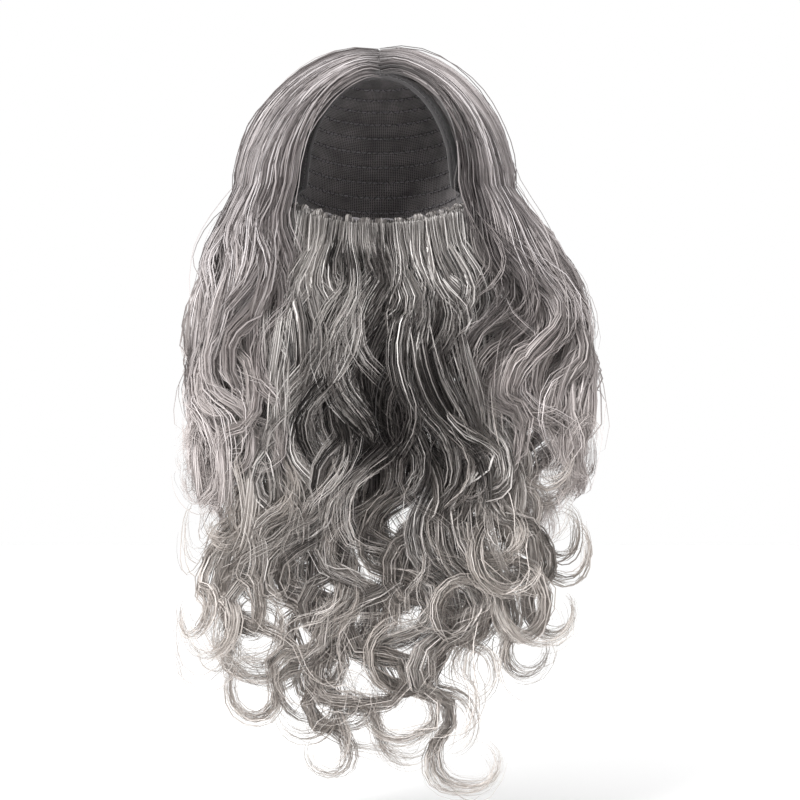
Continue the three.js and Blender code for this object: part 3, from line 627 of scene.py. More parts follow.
def strand_tree():
    tree, add, given = started_tree("strands from locks", [
        ("Strands in a lock", "Int", 36), ("Seed", "Int", 1), ("Ribbon width", "Float", 0.0012),
        ("Frizz", "Float", 0.003), ("Frizz size", "Float", 22.0), ("Shortest", "Float", 0.8),
        ("Shade spread", "Float", 0.3), ("Fields across", "Int", 200), ("Material", "Material", None),
    ])

    # Copies of each lock, each with chances of its own
    curves = add("GeometryNodeMeshToCurve", [given["Geometry"]])
    amount = {"Geometry": curves, "Amount": given["Strands in a lock"]}
    copies = add("GeometryNodeDuplicateElements", amount, domain="SPLINE")
    number = add("GeometryNodeInputIndex")
    on_curve, on_point = ({"domain": domain, "data_type": "FLOAT"} for domain in ("CURVE", "POINT"))
    for step, (name, least, most) in enumerate(STRAND_CHANCES, 1):
        seed = add(MATH, [given["Seed"], step], operation="ADD")
        draw = {2: least, 3: most, "ID": number, "Seed": seed}
        chance = add("FunctionNodeRandomValue", draw, 1, data_type="FLOAT")
        copies = add(STORE, {"Geometry": copies, "Name": name, "Value": chance}, **on_curve)
    fields = {"Geometry": copies, "Name": "field", "Value": number}
    copies = add(STORE, fields, domain="CURVE", data_type="INT")
    go_side, nearer, go_deep, own, wild, lean, cut, wide, deep, shade = (
        add(ATTRIBUTE, [name], data_type="FLOAT")
        for name in [row[0] for row in STRAND_CHANCES] + ["wide", "deep", "shade"]
    )
    side, out = (add(ATTRIBUTE, [name], data_type="FLOAT_VECTOR") for name in ("side", "out"))

    # Each copy's place in its lock
    factor = add("GeometryNodeSplineParameter")
    near = add(MATH, [nearer], operation="ABSOLUTE")
    near = add(MATH, [near, SCATTERED, CROWDED], operation="MULTIPLY_ADD")
    beside = add(MATH, [go_side, near], operation="MULTIPLY")
    beside = add(MATH, [beside, wide], operation="MULTIPLY")
    inwards = add(MATH, [go_deep, deep], operation="MULTIPLY")
    sideways = add(VECTOR, {0: side, "Scale": beside}, operation="SCALE")
    inwards = add(VECTOR, {0: out, "Scale": inwards}, operation="SCALE")
    offset = add(VECTOR, [sideways, inwards], operation="ADD")

    # Its frizz: a slow noise of its own, strong in a few strands and towards the tips
    noise_at = {
        "Vector": add("GeometryNodeInputPosition"),
        "W": add(MATH, [own, NOISES_APART], operation="MULTIPLY"),
        "Scale": given["Frizz size"], "Detail": 1.0, "Roughness": 0.5,
    }
    noise = add("ShaderNodeTexNoise", noise_at, "Color", noise_dimensions="4D")
    centred = add(VECTOR, [noise, (0.5, 0.5, 0.5)], operation="SUBTRACT")
    rare = add(MATH, [wild, FEW_ARE_WILD], operation="POWER")
    wildness = add(MATH, [rare, WILDEST, CALM], operation="MULTIPLY_ADD")
    lower = add(MATH, [factor, FRIZZ_GROWS], operation="POWER")
    lower = add(MATH, [lower, FRIZZ_AT_ROOT], operation="ADD")
    frizz = add(MATH, [given["Frizz"], wildness], operation="MULTIPLY")
    frizz = add(MATH, [frizz, lower], operation="MULTIPLY")
    frizz = add(MATH, [frizz, 2.0], operation="MULTIPLY")
    stray = add(VECTOR, {0: centred, "Scale": frizz}, operation="SCALE")
    offset = add(VECTOR, [offset, stray], operation="ADD")
    moved = add("GeometryNodeSetPosition", {"Geometry": copies, "Offset": offset})

    # Its own length
    room = add(MATH, [1.0, given["Shortest"]], operation="SUBTRACT")
    longer = add(MATH, [cut, MOST_ARE_LONG], operation="POWER")
    end = add(MATH, [longer, room, given["Shortest"]], operation="MULTIPLY_ADD")
    strand = add("GeometryNodeTrimCurve", {"Curve": moved, "End": end}, mode="FACTOR")

    # Its shade, how far along it a point lies, and the way that its flat side faces
    spread = add(MATH, [given["Shade spread"], 2.0], operation="MULTIPLY")
    own_shade = add(MATH, [own, 0.5], operation="SUBTRACT")
    tone = add(MATH, [own_shade, spread, shade], operation="MULTIPLY_ADD")
    for name, value in (("tone", tone), ("along", factor)):
        strand = add(STORE, {"Geometry": strand, "Name": name, "Value": value}, **on_point)
    leaning = add(VECTOR, {0: side, "Scale": lean}, operation="SCALE")
    facing = add(VECTOR, [out, leaning], operation="ADD")
    strand = add("GeometryNodeSetCurveNormal", {"Curve": strand, "Normal": facing}, mode="FREE")

    # The flat ribbon, narrow at both ends
    line = add("GeometryNodeCurvePrimitiveLine", {"Start": (-0.5, 0, 0), "End": (0.5, 0, 0)})
    across = {"Geometry": line, "Name": "across", "Value": add("GeometryNodeSplineParameter")}
    line = add(STORE, across, **on_point)
    past_root = add(MATH, [factor, ROOT_STUB], operation="ADD")
    rising = add(MATH, [past_root, ROOT_OPENS], operation="MULTIPLY")
    to_tip = add(MATH, [1 + TIP_STUB, factor], operation="SUBTRACT")
    falling = add(MATH, [to_tip, TIP_CLOSES], operation="MULTIPLY")
    taper = add(MATH, [rising, falling], operation="MINIMUM")
    taper = add(MATH, [taper, 1.0], operation="MINIMUM")
    width = add(MATH, [wild, THICK_ADDS, THIN_STRAND], operation="MULTIPLY_ADD")
    width = add(MATH, [given["Ribbon width"], width], operation="MULTIPLY")
    width = add(MATH, [width, taper], operation="MULTIPLY")
    swept = add("GeometryNodeCurveToMesh", {"Curve": strand, "Profile Curve": line, "Scale": width})

    # A field of the texture map for each ribbon
    field = add(ATTRIBUTE, ["field"], data_type="INT")
    across, along = (add(ATTRIBUTE, [name], data_type="FLOAT") for name in ("across", "along"))
    column = add(MATH, [field, given["Fields across"]], operation="FLOORED_MODULO")
    row = add(MATH, [field, given["Fields across"]], operation="DIVIDE")
    row = add(MATH, [row], operation="FLOOR")
    inner = add(MATH, [across, 1 - 2 * FIELD_SIDE, FIELD_SIDE], operation="MULTIPLY_ADD")
    run = add(MATH, [along, 1 - 2 * FIELD_END, FIELD_END], operation="MULTIPLY_ADD")
    u = add(MATH, [column, inner], operation="ADD")
    u = add(MATH, [u, given["Fields across"]], operation="DIVIDE")
    v = add(MATH, [row, run], operation="ADD")
    v = add(MATH, [v, float(FIELD_ROWS)], operation="DIVIDE")
    uv = {"Geometry": swept, "Name": "OFBake", "Value": add("ShaderNodeCombineXYZ", [u, v])}
    mapped = add(STORE, uv, domain="CORNER", data_type="FLOAT2")
    smooth = add("GeometryNodeSetShadeSmooth", [mapped])
    real = add("GeometryNodeRealizeInstances", [smooth])
    dressed = add("GeometryNodeSetMaterial", {"Geometry": real, "Material": given["Material"]})
    add("NodeGroupOutput", [dressed])
    return tree


strands_from_locks = strand_tree()
print("strand tree:", len(strands_from_locks.nodes), "nodes")


# %% [markdown]
# The locks go to the nodes as chains of edges, with their ways out and sideways as attributes.
# The result is baked to a plain mesh, and the work lines are thrown away.


# %% Locks to a piece of hair
def joined_locks(*tables):
    return {key: np.concatenate([table[key] for table in tables]) for key in tables[0]}


def chains(paths, closed=False):
    """Edges that join the points of each path in turn."""
    count, stations = paths.shape[:2]
    first = np.arange(count)[:, None] * stations
    steps = np.arange(stations if closed else stations - 1)[None]
    return np.stack([(first + steps).ravel(), (first + (steps + 1) % stations).ravel()], 1)


def grown_piece(name, paths, edges, attributes, tree, inputs):
    """The plain mesh that a tree makes of paths. Its inputs are set by their identifiers."""
    lines = mesh_object(name + "_lines", paths.reshape(-1, 3), edges=edges.tolist())
    for key, values in attributes.items():
        kind, field = ("FLOAT_VECTOR", "vector") if values.ndim == 3 else ("FLOAT", "value")
        data = lines.data.attributes.new(key, kind, "POINT").data
        data.foreach_set(field, np.ascontiguousarray(values, dtype=np.float32).ravel())
    nodes = lines.modifiers.new("nodes", "NODES")
    nodes.node_group = tree
    sockets = {item.name: item.identifier for item in tree.interface.items_tree if item.in_out == "INPUT"}
    for key, value in inputs.items():
        nodes[sockets[key.replace("_", " ")]] = value
    shape = bpy.data.meshes.new_from_object(lines.evaluated_get(bpy.context.evaluated_depsgraph_get()))
    shape.name = name
    piece = bpy.data.objects.new(name, shape)
    bpy.context.collection.objects.link(piece)
    bpy.data.objects.remove(lines)
    return piece


def hair_piece(name, locks, material, **inputs):
    strands = len(locks["point"]) * inputs["Strands_in_a_lock"]
    inputs = {"Material": material, "Fields_across": int(np.ceil(strands / FIELD_ROWS)), **inputs}
    attributes = {key: locks[key] for key in ("out", "side", "shade")}
    attributes |= {key: locks[key] * MM for key in ("wide", "deep")}
    paths = locks["point"]
    piece = grown_piece(name, paths, chains(paths), attributes, strands_from_locks, inputs)
    print(name, len(paths), "locks,", strands, "strands,", triangles_of(piece), "triangles")
    return piece


# %% [markdown]
# ## Hair fibre
# Wig fibre is drawn plastic thread, a tenth of a millimetre thick, smooth and half shiny. Grey hair
# is a blend: charcoal, two mid greys and a pale silver are mixed strand by strand, so it looks
# alive from near and even from far. The roots are darker, because they lie in each other's shade,
# and the ends are paler. Fine lines along each ribbon stand for the single fibres, drawn about
# twice as coarse as they are so that they show.

# %% Hair fibre materials
LINE_STRETCH = (5.0, 3.0, 400.0)  # lines across a ribbon, changes down it, and apart from the next
LINE_CONTRAST = 0.5
ENDS_FROM, ROOTS_TO = 0.45, 0.07
GLOSSIER, DULLER = 0.07, 0.1


def fibre_material(name, shades, end_colour, end_mix, roughness, root_shade):
    material, shader, add = started_material(name)
    tone, along, across = (
        add("ShaderNodeAttribute", out="Fac", attribute_name=key) for key in ("tone", "along", "across")
    )
    # Fine lines: a noise that is short across the ribbon and long down it
    lines_at = add("ShaderNodeCombineXYZ", [across, along, tone])
    stretched = add(VECTOR, [lines_at, LINE_STRETCH], operation="MULTIPLY")
    lines = add("ShaderNodeTexNoise", {"Vector": stretched, "Scale": 1.0, "Detail": 2.0})
    shift = add(MATH, [lines, LINE_CONTRAST, -LINE_CONTRAST / 2], operation="MULTIPLY_ADD")
    ramp = add("ShaderNodeValToRGB", [add(MATH, [tone, shift], operation="ADD")])
    set_ramp(ramp, shades)
    ends = add(MAP_RANGE, [along, ENDS_FROM, 1.0, 0.0, end_mix])
    paler = add("ShaderNodeMix", {0: ends, 6: ramp, 7: linear(end_colour)}, 2, data_type="RGBA")
    roots = add(MAP_RANGE, [along, 0.0, ROOTS_TO, root_shade, 1.0])
    fill(shader, {
        "Base Color": add(VECTOR, {0: paler, "Scale": roots}, operation="SCALE"),
        "Normal": add("ShaderNodeBump", {"Height": lines, "Strength": 0.35, "Distance": 0.0002}),
        "Roughness": add(MAP_RANGE, [lines, 0.3, 0.7, roughness - GLOSSIER, roughness + DULLER]),
        "Specular IOR Level": 0.5,
    })
    return material


WIG_SHADES = [(0.0, "#292524"), (0.28, "#5f5959"), (0.52, "#8b8483"), (0.75, "#b3adad"), (1.0, "#d6d1d2")]
BEARD_SHADES = [(0.05, "#211e1d"), (0.3, "#575250"), (0.52, "#807b78"), (0.75, "#aca7a4"), (1.0, "#d3cfcc")]
wig_fibre = fibre_material("drawn synthetic wig fibre, grey blend", WIG_SHADES, "#d8cfcb", 0.5, 0.54, 0.5)
beard_fibre = fibre_material(
    "drawn synthetic beard fibre, grey blend", BEARD_SHADES, "#d6ccc4", 0.5, 0.46, 0.85
)

# %% [markdown]
# ## The wig's hair
# The sides and the back are separate pieces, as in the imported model, so each can be repainted or
# exported alone. The outer layer gets the most strands.

# %% Hair of the wig
SIDE_STRANDS = {
    "Strands_in_a_lock": 32, "Ribbon_width": 0.0010, "Frizz": 0.006, "Shortest": 0.82, "Shade_spread": 0.16
}
hair_left = hair_piece(
    "wig_hair_left",
    joined_locks(
        wig_locks(42, -0.25, LEFT_END, 0), wig_locks(24, 0.0, LEFT_END, 1), wig_locks(10, 0.2, LEFT_END, 2)
    ),
    wig_fibre, Seed=21, **SIDE_STRANDS,
)
hair_right = hair_piece(
    "wig_hair_right",
    joined_locks(
        wig_locks(42, BACK_END, 18.2, 0), wig_locks(24, BACK_END, 18.0, 1), wig_locks(10, BACK_END, 17.8, 2)
    ),
    wig_fibre, Seed=22, **SIDE_STRANDS,
)
hair_back = hair_piece(
    "wig_hair_back",
    joined_locks(wig_locks(32, LEFT_END, BACK_END, 0), wig_locks(16, LEFT_END, BACK_END, 1)),
    wig_fibre, Seed=23, Strands_in_a_lock=30, Ribbon_width=0.0014, Frizz=0.004, Shortest=0.84,
    Shade_spread=0.16,
)

# %% [markdown]
# ## The beard's hair
# The beard is one curtain, sewn to the backing along its top edge. It hangs almost straight for
# two fingers' width and then waves more and more, down to open ringlets.

# %% Hair of the beard
beard_over = hair_piece(
    "beard_hair_outer", beard_locks(62, -0.45, 11.45, 0),
    beard_fibre, Seed=31, Strands_in_a_lock=38, Ribbon_width=0.0010, Frizz=0.006, Shortest=0.84,
    Shade_spread=0.55,
)
beard_under = hair_piece(
    "beard_hair_inner", joined_locks(beard_locks(40, -0.4, 11.4, 1), beard_locks(18, -0.3, 11.3, 2)),
    beard_fibre, Seed=32, Strands_in_a_lock=28, Ribbon_width=0.0013, Frizz=0.007, Shortest=0.8,
    Shade_spread=0.5,
)

# %% [markdown]
# ## Stray hairs
# About a thousand fibres have left their locks. They are what makes the outline soft: without them
# the hair looks cast. They are thinner to the eye, since each lies alone, and wander further.

# %% Stray hairs
strays = hair_piece(
    "stray_hairs",
    joined_locks(
        wig_locks(44, -0.3, LEFT_END, -0.5, 1.3),
        wig_locks(40, BACK_END, 18.3, -0.5, 1.3),
        wig_locks(8, 17.4, 18.6, -0.3, 1.6),
    ),
    wig_fibre, Strands_in_a_lock=6, Seed=41, Ribbon_width=0.0006, Frizz=0.016, Frizz_size=8.0, Shortest=0.6,
)
beard_strays = hair_piece(
    "beard_stray_hairs", beard_locks(56, -0.45, 11.45, -0.9),
    beard_fibre, Seed=42, Strands_in_a_lock=11, Ribbon_width=0.0007, Frizz=0.018, Frizz_size=8.0,
    Shortest=0.5,
)

# %% [markdown]
# ## Thin sewn pieces
# Cap, bands, backing and strap are all cloth a millimetre or two thick. Each is laid out as two
# grids of points, outside and inside, closed round the edge. Each also gets a map that counts
# millimetres along the cloth, so that a weave comes out at its real size wherever it curves.

# %% Walls of cloth
CAP_INSIDE = np.array([75.0, 95.0, 110.0])
CAP_WALL = 2.0
CAP_FRONT_Y = -57.0
CAP_BACK_Y = 95.0
RIM_FRONT_Z = -112.0
RIM_NAPE_Z = -146.0
BAND_WIDTH = 9.0
BAND_WALL = 1.6
GAP = 0.4
WELD_MM = 0.002
BEVEL_ABOVE = np.radians(50)


def cloth_wall(name, outer, inner, round_edge=0.35, closed=False):
    """A closed thin piece between two grids of points, with a map of its length and height in mm."""
    rows, columns = outer.shape[:2]
    vertices = np.concatenate([outer.reshape(-1, 3), inner.reshape(-1, 3)])
    number = np.arange(rows * columns).reshape(rows, columns)
    behind = number + rows * columns
    if closed:
        number = np.hstack([number, number[:, :1]])
        behind = np.hstack([behind, behind[:, :1]])

    def quads(a, b, c, d):
        return np.stack([a.ravel(), b.ravel(), c.ravel(), d.ravel()], axis=1)

    faces = [
        quads(number[:-1, :-1], number[1:, :-1], number[1:, 1:], number[:-1, 1:]),
        quads(behind[:-1, :-1], behind[:-1, 1:], behind[1:, 1:], behind[1:, :-1]),
        quads(number[0, :-1], number[0, 1:], behind[0, 1:], behind[0, :-1]),
        quads(number[-1, :-1], behind[-1, :-1], behind[-1, 1:], number[-1, 1:]),
    ]
    if not closed:
        faces.append(quads(number[:-1, 0], behind[:-1, 0], behind[1:, 0], number[1:, 0]))
        faces.append(quads(number[:-1, -1], number[1:, -1], behind[1:, -1], behind[:-1, -1]))
    piece = mesh_object(name, vertices, np.concatenate(faces).tolist())
    lengths = np.linalg.norm(np.diff(outer, axis=1), axis=-1).mean(axis=0)
    heights = np.linalg.norm(np.diff(outer, axis=0), axis=-1).max(axis=1)
    u, v = np.meshgrid(np.concatenate([[0], np.cumsum(lengths)]), np.concatenate([[0], np.cumsum(heights)]))
    place = np.stack([u, v, 0 * u], axis=-1).reshape(-1, 3)
    stored = piece.data.attributes.new("cloth", "FLOAT_VECTOR", "POINT").data
    stored.foreach_set("vector", np.tile(place, (2, 1)).astype(np.float32).ravel())
    tidy_mesh(piece)
    if round_edge:
        edge = piece.modifiers.new("rounded edges", "BEVEL")
        edge.width, edge.segments = round_edge * MM, 2
        edge.limit_method, edge.angle_limit = "ANGLE", BEVEL_ABOVE
        edge.harden_normals = False
    return piece


def tidy_mesh(piece):
    """Merges points that coincide and turns every face outwards."""
    work = bmesh.new()
    work.from_mesh(piece.data)
    bmesh.ops.remove_doubles(work, verts=work.verts, dist=WELD_MM * MM)
    bmesh.ops.recalc_face_normals(work, faces=work.faces)
    work.to_mesh(piece.data)
    work.free()
    piece.data.polygons.foreach_set("use_smooth", [True] * len(piece.data.polygons))


def ride_as(piece, slot_name, material, *nodes):
    if material:
        piece.data.materials.clear()
        piece.data.materials.append(material)
    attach(piece, "root")
    if nodes:
        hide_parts(*nodes)
    print(piece.name, triangles_of(piece), "triangles, slot", slot_name)


# %% [markdown]
# ## Materials of the sewn pieces
# The cap is warp-knitted net, soft and open, in dark grey so that it vanishes under the hair. The
# bands are woven elastic: rubber threads run along it under rows of fine ribs, which the eye reads
# as a tight ribbed ribbon. Both are matt, with a little fuzz of sheen.


# %% Net and woven elastic
ROUGH_LOW, ROUGH_HIGH = 0.92, 0.7
CLOTH_BUMP, SHEEN_ROUGHNESS = 0.8, 0.5
THREAD_TOP, THREAD_SIDE = 0.05, 0.28  # shares of a hole's size, from the thread's middle
PICK_SHARE = 0.6


def cloth_material(name, dark, light, sheen, depth_mm):
    """The start of a cloth: a function that adds its nodes and one that ends it."""
    material, shader, add = started_material(name)

    def finish(height, shade):
        """Links the height to bump and roughness, and mixes the two colours by the shade."""
        colour = add("ShaderNodeValToRGB", [shade])
        set_ramp(colour, [(0.0, dark), (1.0, light)])
        relief = {"Height": height, "Strength": CLOTH_BUMP, "Distance": depth_mm * MM}
        fill(shader, {
            "Base Color": colour,
            "Roughness": add(MAP_RANGE, [height, 0.0, 1.0, ROUGH_LOW, ROUGH_HIGH]),
            "Normal": add("ShaderNodeBump", relief),
            "Sheen Weight": sheen,
            "Sheen Roughness": SHEEN_ROUGHNESS,
        })
        return material

    return add, finish


def net_material(name, dark, light, hole_mm):
    """Threads stand between holes of one size; the cloth is worn paler in patches."""
    add, finish = cloth_material(name, dark, light, sheen=0.25, depth_mm=0.35)
    place = add("ShaderNodeAttribute", out="Vector", attribute_name="cloth")
    in_holes = add(VECTOR, {0: place, "Scale": 1 / hole_mm}, operation="SCALE")
    cells = {"Vector": in_holes, "Scale": 1.0, "Randomness": 0.25}
    kind = {"feature": "DISTANCE_TO_EDGE", "voronoi_dimensions": "2D"}
    holes = add("ShaderNodeTexVoronoi", cells, "Distance", **kind)
    threads = add(MAP_RANGE, [holes, THREAD_TOP, THREAD_SIDE, 1.0, 0.0])
    worn = add("ShaderNodeTexNoise", {"Vector": place, "Scale": 0.06, "Detail": 3.0})
    return finish(threads, add(MATH, [threads, worn], operation="MULTIPLY"))


def elastic_material(name, dark, light, rib_mm, pick_mm):
    """Ribs run along the cloth and picks cross them, both as sine waves over the cloth's own map."""
    add, finish = cloth_material(name, dark, light, sheen=0.3, depth_mm=0.25)
    place = add("ShaderNodeAttribute", out="Vector", attribute_name="cloth")
    axes = add("ShaderNodeSeparateXYZ", [place]).node.outputs
    waves = []
    for axis, spacing in (("Y", rib_mm), ("X", pick_mm)):
        angle = add(MATH, [axes[axis], 2 * np.pi / spacing], operation="MULTIPLY")
        waves.append(add(MATH, [angle], operation="SINE"))
    crossed = add(MATH, waves, operation="MULTIPLY")
    woven = add(MATH, [crossed, PICK_SHARE, waves[0]], operation="MULTIPLY_ADD")
    height = add(MAP_RANGE, [woven, -1 - PICK_SHARE, 1 + PICK_SHARE])
    fuzz = add("ShaderNodeTexNoise", {"Vector": place, "Scale": 0.9, "Detail": 4.0})
    return finish(height, add(MATH, [height, fuzz], operation="MULTIPLY"))


cap_net = net_material("warp-knitted stretch net, dark grey", "#242122", "#b5aeae", 1.5)
backing_net = net_material("stiff beard net, dark grey", "#232122", "#aaa4a4", 1.1)
woven_elastic = elastic_material("woven elastic, ribbed", "#121011", "#4a4647", 1.3, 0.8)
parting_cloth = elastic_material("closely woven parting tape", "#151314", "#454142", 0.7, 0.7)
edge_tape = elastic_material("gathered sewing tape, grey", "#3c393b", "#918d90", 0.9, 0.6)

# %% [markdown]
# ## The cap
# The cap is a shell, cut straight across in front and along a rim that falls to the nape. Going
# round it, each column of the grid starts at the crown and ends where it meets the front cut or the
# rim. A soft roll is bound round that edge.


# %% The cap's shell
EDGE_SEARCH = 3000
CROWN_HOLE = 0.03
CAP_ROWS = 26


def rim_z(y):
    return RIM_FRONT_Z + (RIM_NAPE_Z - RIM_FRONT_Z) * (y - CAP_FRONT_Y) / (CAP_BACK_Y - CAP_FRONT_Y)


def cap_point(azimuth, polar, grow):
    size = CAP_INSIDE + grow
    x = size[0] * np.sin(polar) * np.sin(azimuth)
    y = -size[1] * np.sin(polar) * np.cos(azimuth)
    return points(x, y, EAR_Z + size[2] * np.cos(polar))


def edge_polar(azimuth, grow):
    """How far down from the crown the cap reaches at each azimuth."""
    polar = np.linspace(0, 0.75 * np.pi, EDGE_SEARCH)
    point = cap_point(azimuth[:, None], polar[None], grow)
    kept = (point[..., 1] >= CAP_FRONT_Y) & (point[..., 2] >= rim_z(point[..., 1]))
    return polar[np.argmin(kept, axis=1)]


def cap_grid(azimuth, rows, grow):
    share = np.linspace(0.0, 1.0, rows)[:, None]
    polar = CROWN_HOLE + (edge_polar(azimuth, grow) - CROWN_HOLE)[None] * share
    return cap_point(azimuth[None], polar, grow)


cap_turn = np.radians(np.concatenate([np.arange(-54, 54, 2), np.arange(54, 306, 3)]))
cap_walls = cap_grid(cap_turn, CAP_ROWS, CAP_WALL), cap_grid(cap_turn, CAP_ROWS, 0.0)
cap = cloth_wall("wig_cap_net", *cap_walls, round_edge=0, closed=True)
ride_as(cap, "cap_net", cap_net, "wig_cap")

# %% [markdown]
# The grid leaves a small hole at the crown, where all its columns would meet. A round patch, as
# real caps have there, covers it.

# %% The crown patch
PATCH_POINTS, PATCH_POLAR = 24, 0.045
PATCH_MIDDLE = 0.3  # the middle ring's size, as a share of the rim's
PATCH_DOME, PATCH_LIFT, PATCH_UNDER, PATCH_SINK = 0.2, 0.3, 0.1, 2.4
patch_turn = np.linspace(0, 2 * np.pi, PATCH_POINTS, endpoint=False)
rim = cap_point(patch_turn, np.full(PATCH_POINTS, PATCH_POLAR), CAP_WALL)
ring = PATCH_MIDDLE * (rim - rim.mean(axis=0))
patch_top, patch_under = (
    np.tile(cap_point(0.0, 0.0, grow), (PATCH_POINTS, 1)) + ring for grow in (CAP_WALL + PATCH_DOME, 0.0)
)
crown_patch = cloth_wall(
    "wig_cap_crown_patch",
    np.stack([patch_top, rim + (0, 0, PATCH_LIFT)]),
    np.stack([patch_under - (0, 0, PATCH_UNDER), rim - (0, 0, PATCH_SINK)]),
    round_edge=0, closed=True,
)
ride_as(crown_patch, "cap_net", cap_net)

# %% [markdown]
# ## Rows of hair inside the cap
# Looking into the empty cap, one sees the rows where the hair is sewn on: a pale ridge every
# centimetre or so, each held with zigzag stitches. The nodes sweep a flat roll along each row and
# set a stitch every few millimetres, leaning left and right in turn.


# %% Rows and their stitches by nodes
STITCH_LEAN = 0.75


def sewn_row_tree():
    tree, add, given = started_tree("sewn rows", [
        ("Height", "Float", 0.0024), ("Thickness", "Float", 0.0011), ("Stitch step", "Float", 0.005),
        ("Stitch length", "Float", 0.0042), ("Thread", "Float", 0.0005),
        ("Row material", "Material", None), ("Stitch material", "Material", None),
    ])

    # The flat roll along each row
    out = add(ATTRIBUTE, ["out"], data_type="FLOAT_VECTOR")
    lines = add("GeometryNodeMeshToCurve", [given["Geometry"]])
    faced = add("GeometryNodeSetCurveNormal", {"Curve": lines, "Normal": out}, mode="FREE")
    circle = add("GeometryNodeCurvePrimitiveCircle", {"Resolution": 8, "Radius": 0.5})
    flat = add("ShaderNodeCombineXYZ", [given["Height"], given["Thickness"], 1.0])
    roll = add("GeometryNodeTransform", {"Geometry": circle, "Scale": flat})
    sweep = {"Curve": faced, "Profile Curve": roll, "Fill Caps": True, "Scale": 1.0}
    smooth = add("GeometryNodeSetShadeSmooth", [add("GeometryNodeCurveToMesh", sweep)])
    rows = add("GeometryNodeSetMaterial", {"Geometry": smooth, "Material": given["Row material"]})

    # A stitch at each step, leaning left and right in turn
    steps = {"Curve": lines, "Length": given["Stitch step"]}
    spaced = add("GeometryNodeResampleCurve", steps, mode="LENGTH")
    lift = add(VECTOR, {0: out, "Scale": given["Thickness"]}, operation="SCALE")
    raised = add("GeometryNodeSetPosition", {"Geometry": spaced, "Offset": lift})
    axes = {"Primary Axis": add("GeometryNodeInputTangent"), "Secondary Axis": out}
    turned = add("FunctionNodeAxesToRotation", axes, primary_axis="X", secondary_axis="Z")
    odd = add(MATH, [add("GeometryNodeInputIndex"), 2.0], operation="MODULO")
    lean = add(MAP_RANGE, [odd, 0.0, 1.0, -STITCH_LEAN, STITCH_LEAN])
    leaning = add("FunctionNodeAxisAngleToRotation", {"Angle": lean, "Axis": (0, 0, 1)})
    both = {"Rotation": turned, "Rotate By": leaning}
    both = add("FunctionNodeRotateRotation", both, rotation_space="LOCAL")
    thread = {"Radius": given["Thread"], "Depth": given["Stitch length"], "Vertices": 6}
    lying = {"Geometry": add("GeometryNodeMeshCylinder", thread), "Rotation": (np.pi / 2, 0, 0)}
    bar = add("GeometryNodeTransform", lying)
    stitches = add("GeometryNodeInstanceOnPoints", {"Points": raised, "Instance": bar, "Rotation": both})
    sewn = add("GeometryNodeSetMaterial", {"Geometry": stitches, "Material": given["Stitch material"]})

    joined = add("GeometryNodeJoinGeometry", [rows])
    fill(joined.node, {0: sewn})
    add("NodeGroupOutput", [add("GeometryNodeRealizeInstances", [joined])])
    return tree


sewn_rows = sewn_row_tree()
print("sewn rows tree:", len(sewn_rows.nodes), "nodes")


def thread_material(name, dark, light, size):
    """Twisted thread or a roll of hair ends: fine bands across the light."""
    add, finish = cloth_material(name, dark, light, sheen=0.15, depth_mm=0.3)
    place = add("ShaderNodeTexCoord", out="Object")
    bands = {"Vector": place, "Scale": size, "Detail": 3.0, "Distortion": 0.6}
    wide = add(MAP_RANGE, [add("ShaderNodeTexNoise", bands), 0.3, 0.7])
    return finish(wide, wide)


weft_roll = thread_material("machine-sewn hair rows, grey", "#4c494b", "#b3afb4", 900.0)
sewing_thread = thread_material("polyester sewing thread, dark", "#1b191a", "#4f4b4c", 1600.0)

# %% [markdown]
# The rows run round the cap from temple to temple, inside the net. The same nodes make the soft
# roll at the cap's edge, thicker and with closer stitches, because the elastic is bound in there.

# %% Rows inside the cap and the hem
ROW_COUNT, ROW_POINTS = 11, 70
ROWS_FROM, ROWS_TO = 64, 296  # degrees round from the front
FIRST_ROW, LAST_ROW = 0.30, 0.955  # shares of the way from the crown to the edge
ROW_INSET = 0.3
row_turn = np.radians(np.linspace(ROWS_FROM, ROWS_TO, ROW_POINTS))
row_share = np.linspace(FIRST_ROW, LAST_ROW, ROW_COUNT)[:, None]
row_polar = row_share * edge_polar(row_turn, 0.0)[None]
row_lines = cap_point(row_turn[None], row_polar, -ROW_INSET)
inward = unit(cap_point(row_turn[None], row_polar, -ROW_INSET - 1) - row_lines)


def sewn_piece(name, lines, outs, roll_material, closed=False, **inputs):
    """Rows of points, all of one length, swept and stitched. outs are the ways that the stitches face."""
    inputs = {"Row material": roll_material, "Stitch material": sewing_thread, **inputs}
    return grown_piece(name, lines, chains(lines, closed), {"out": outs}, sewn_rows, inputs)


weft_rows = sewn_piece("sewn_hair_rows", row_lines, inward, weft_roll, Thread=0.00035)
ride_as(weft_rows, "cap_net", None)

edge_mid = cap_point(cap_turn, edge_polar(cap_turn, CAP_WALL / 2), CAP_WALL / 2)
edge_out = unit(edge_mid - np.array([0, 0, EAR_Z + 25]))
hem = sewn_piece(
    "wig_cap_hem", edge_mid[None], edge_out[None], woven_elastic, closed=True,
    Height=0.0034, Thickness=0.0030, Stitch_step=0.0035, Stitch_length=0.0026, Thread=0.0003,
)
ride_as(hem, "cap_net", None)

# %% [markdown]
# ## Front band, parting tape and strap
# A woven elastic band keeps the front edge down, and a close tape lies under the parting, where the
# hair turns away to both sides. The beard hangs on its own elastic, which passes round the back.


# %% Band, tape and strap
BAND_HALF_ANGLE = np.radians(91.2)
TAPE_HALF, TAPE_END_Y = 2.5, 34.0


def round_y(y, angle, grow):
    """Points on the cap's shape at one depth y, by the angle round from the top."""
    size = CAP_INSIDE + grow
    ring = np.sqrt(1 - (y / size[1]) ** 2)
    return points(size[0] * ring * np.sin(angle), y, EAR_Z + size[2] * ring * np.cos(angle))


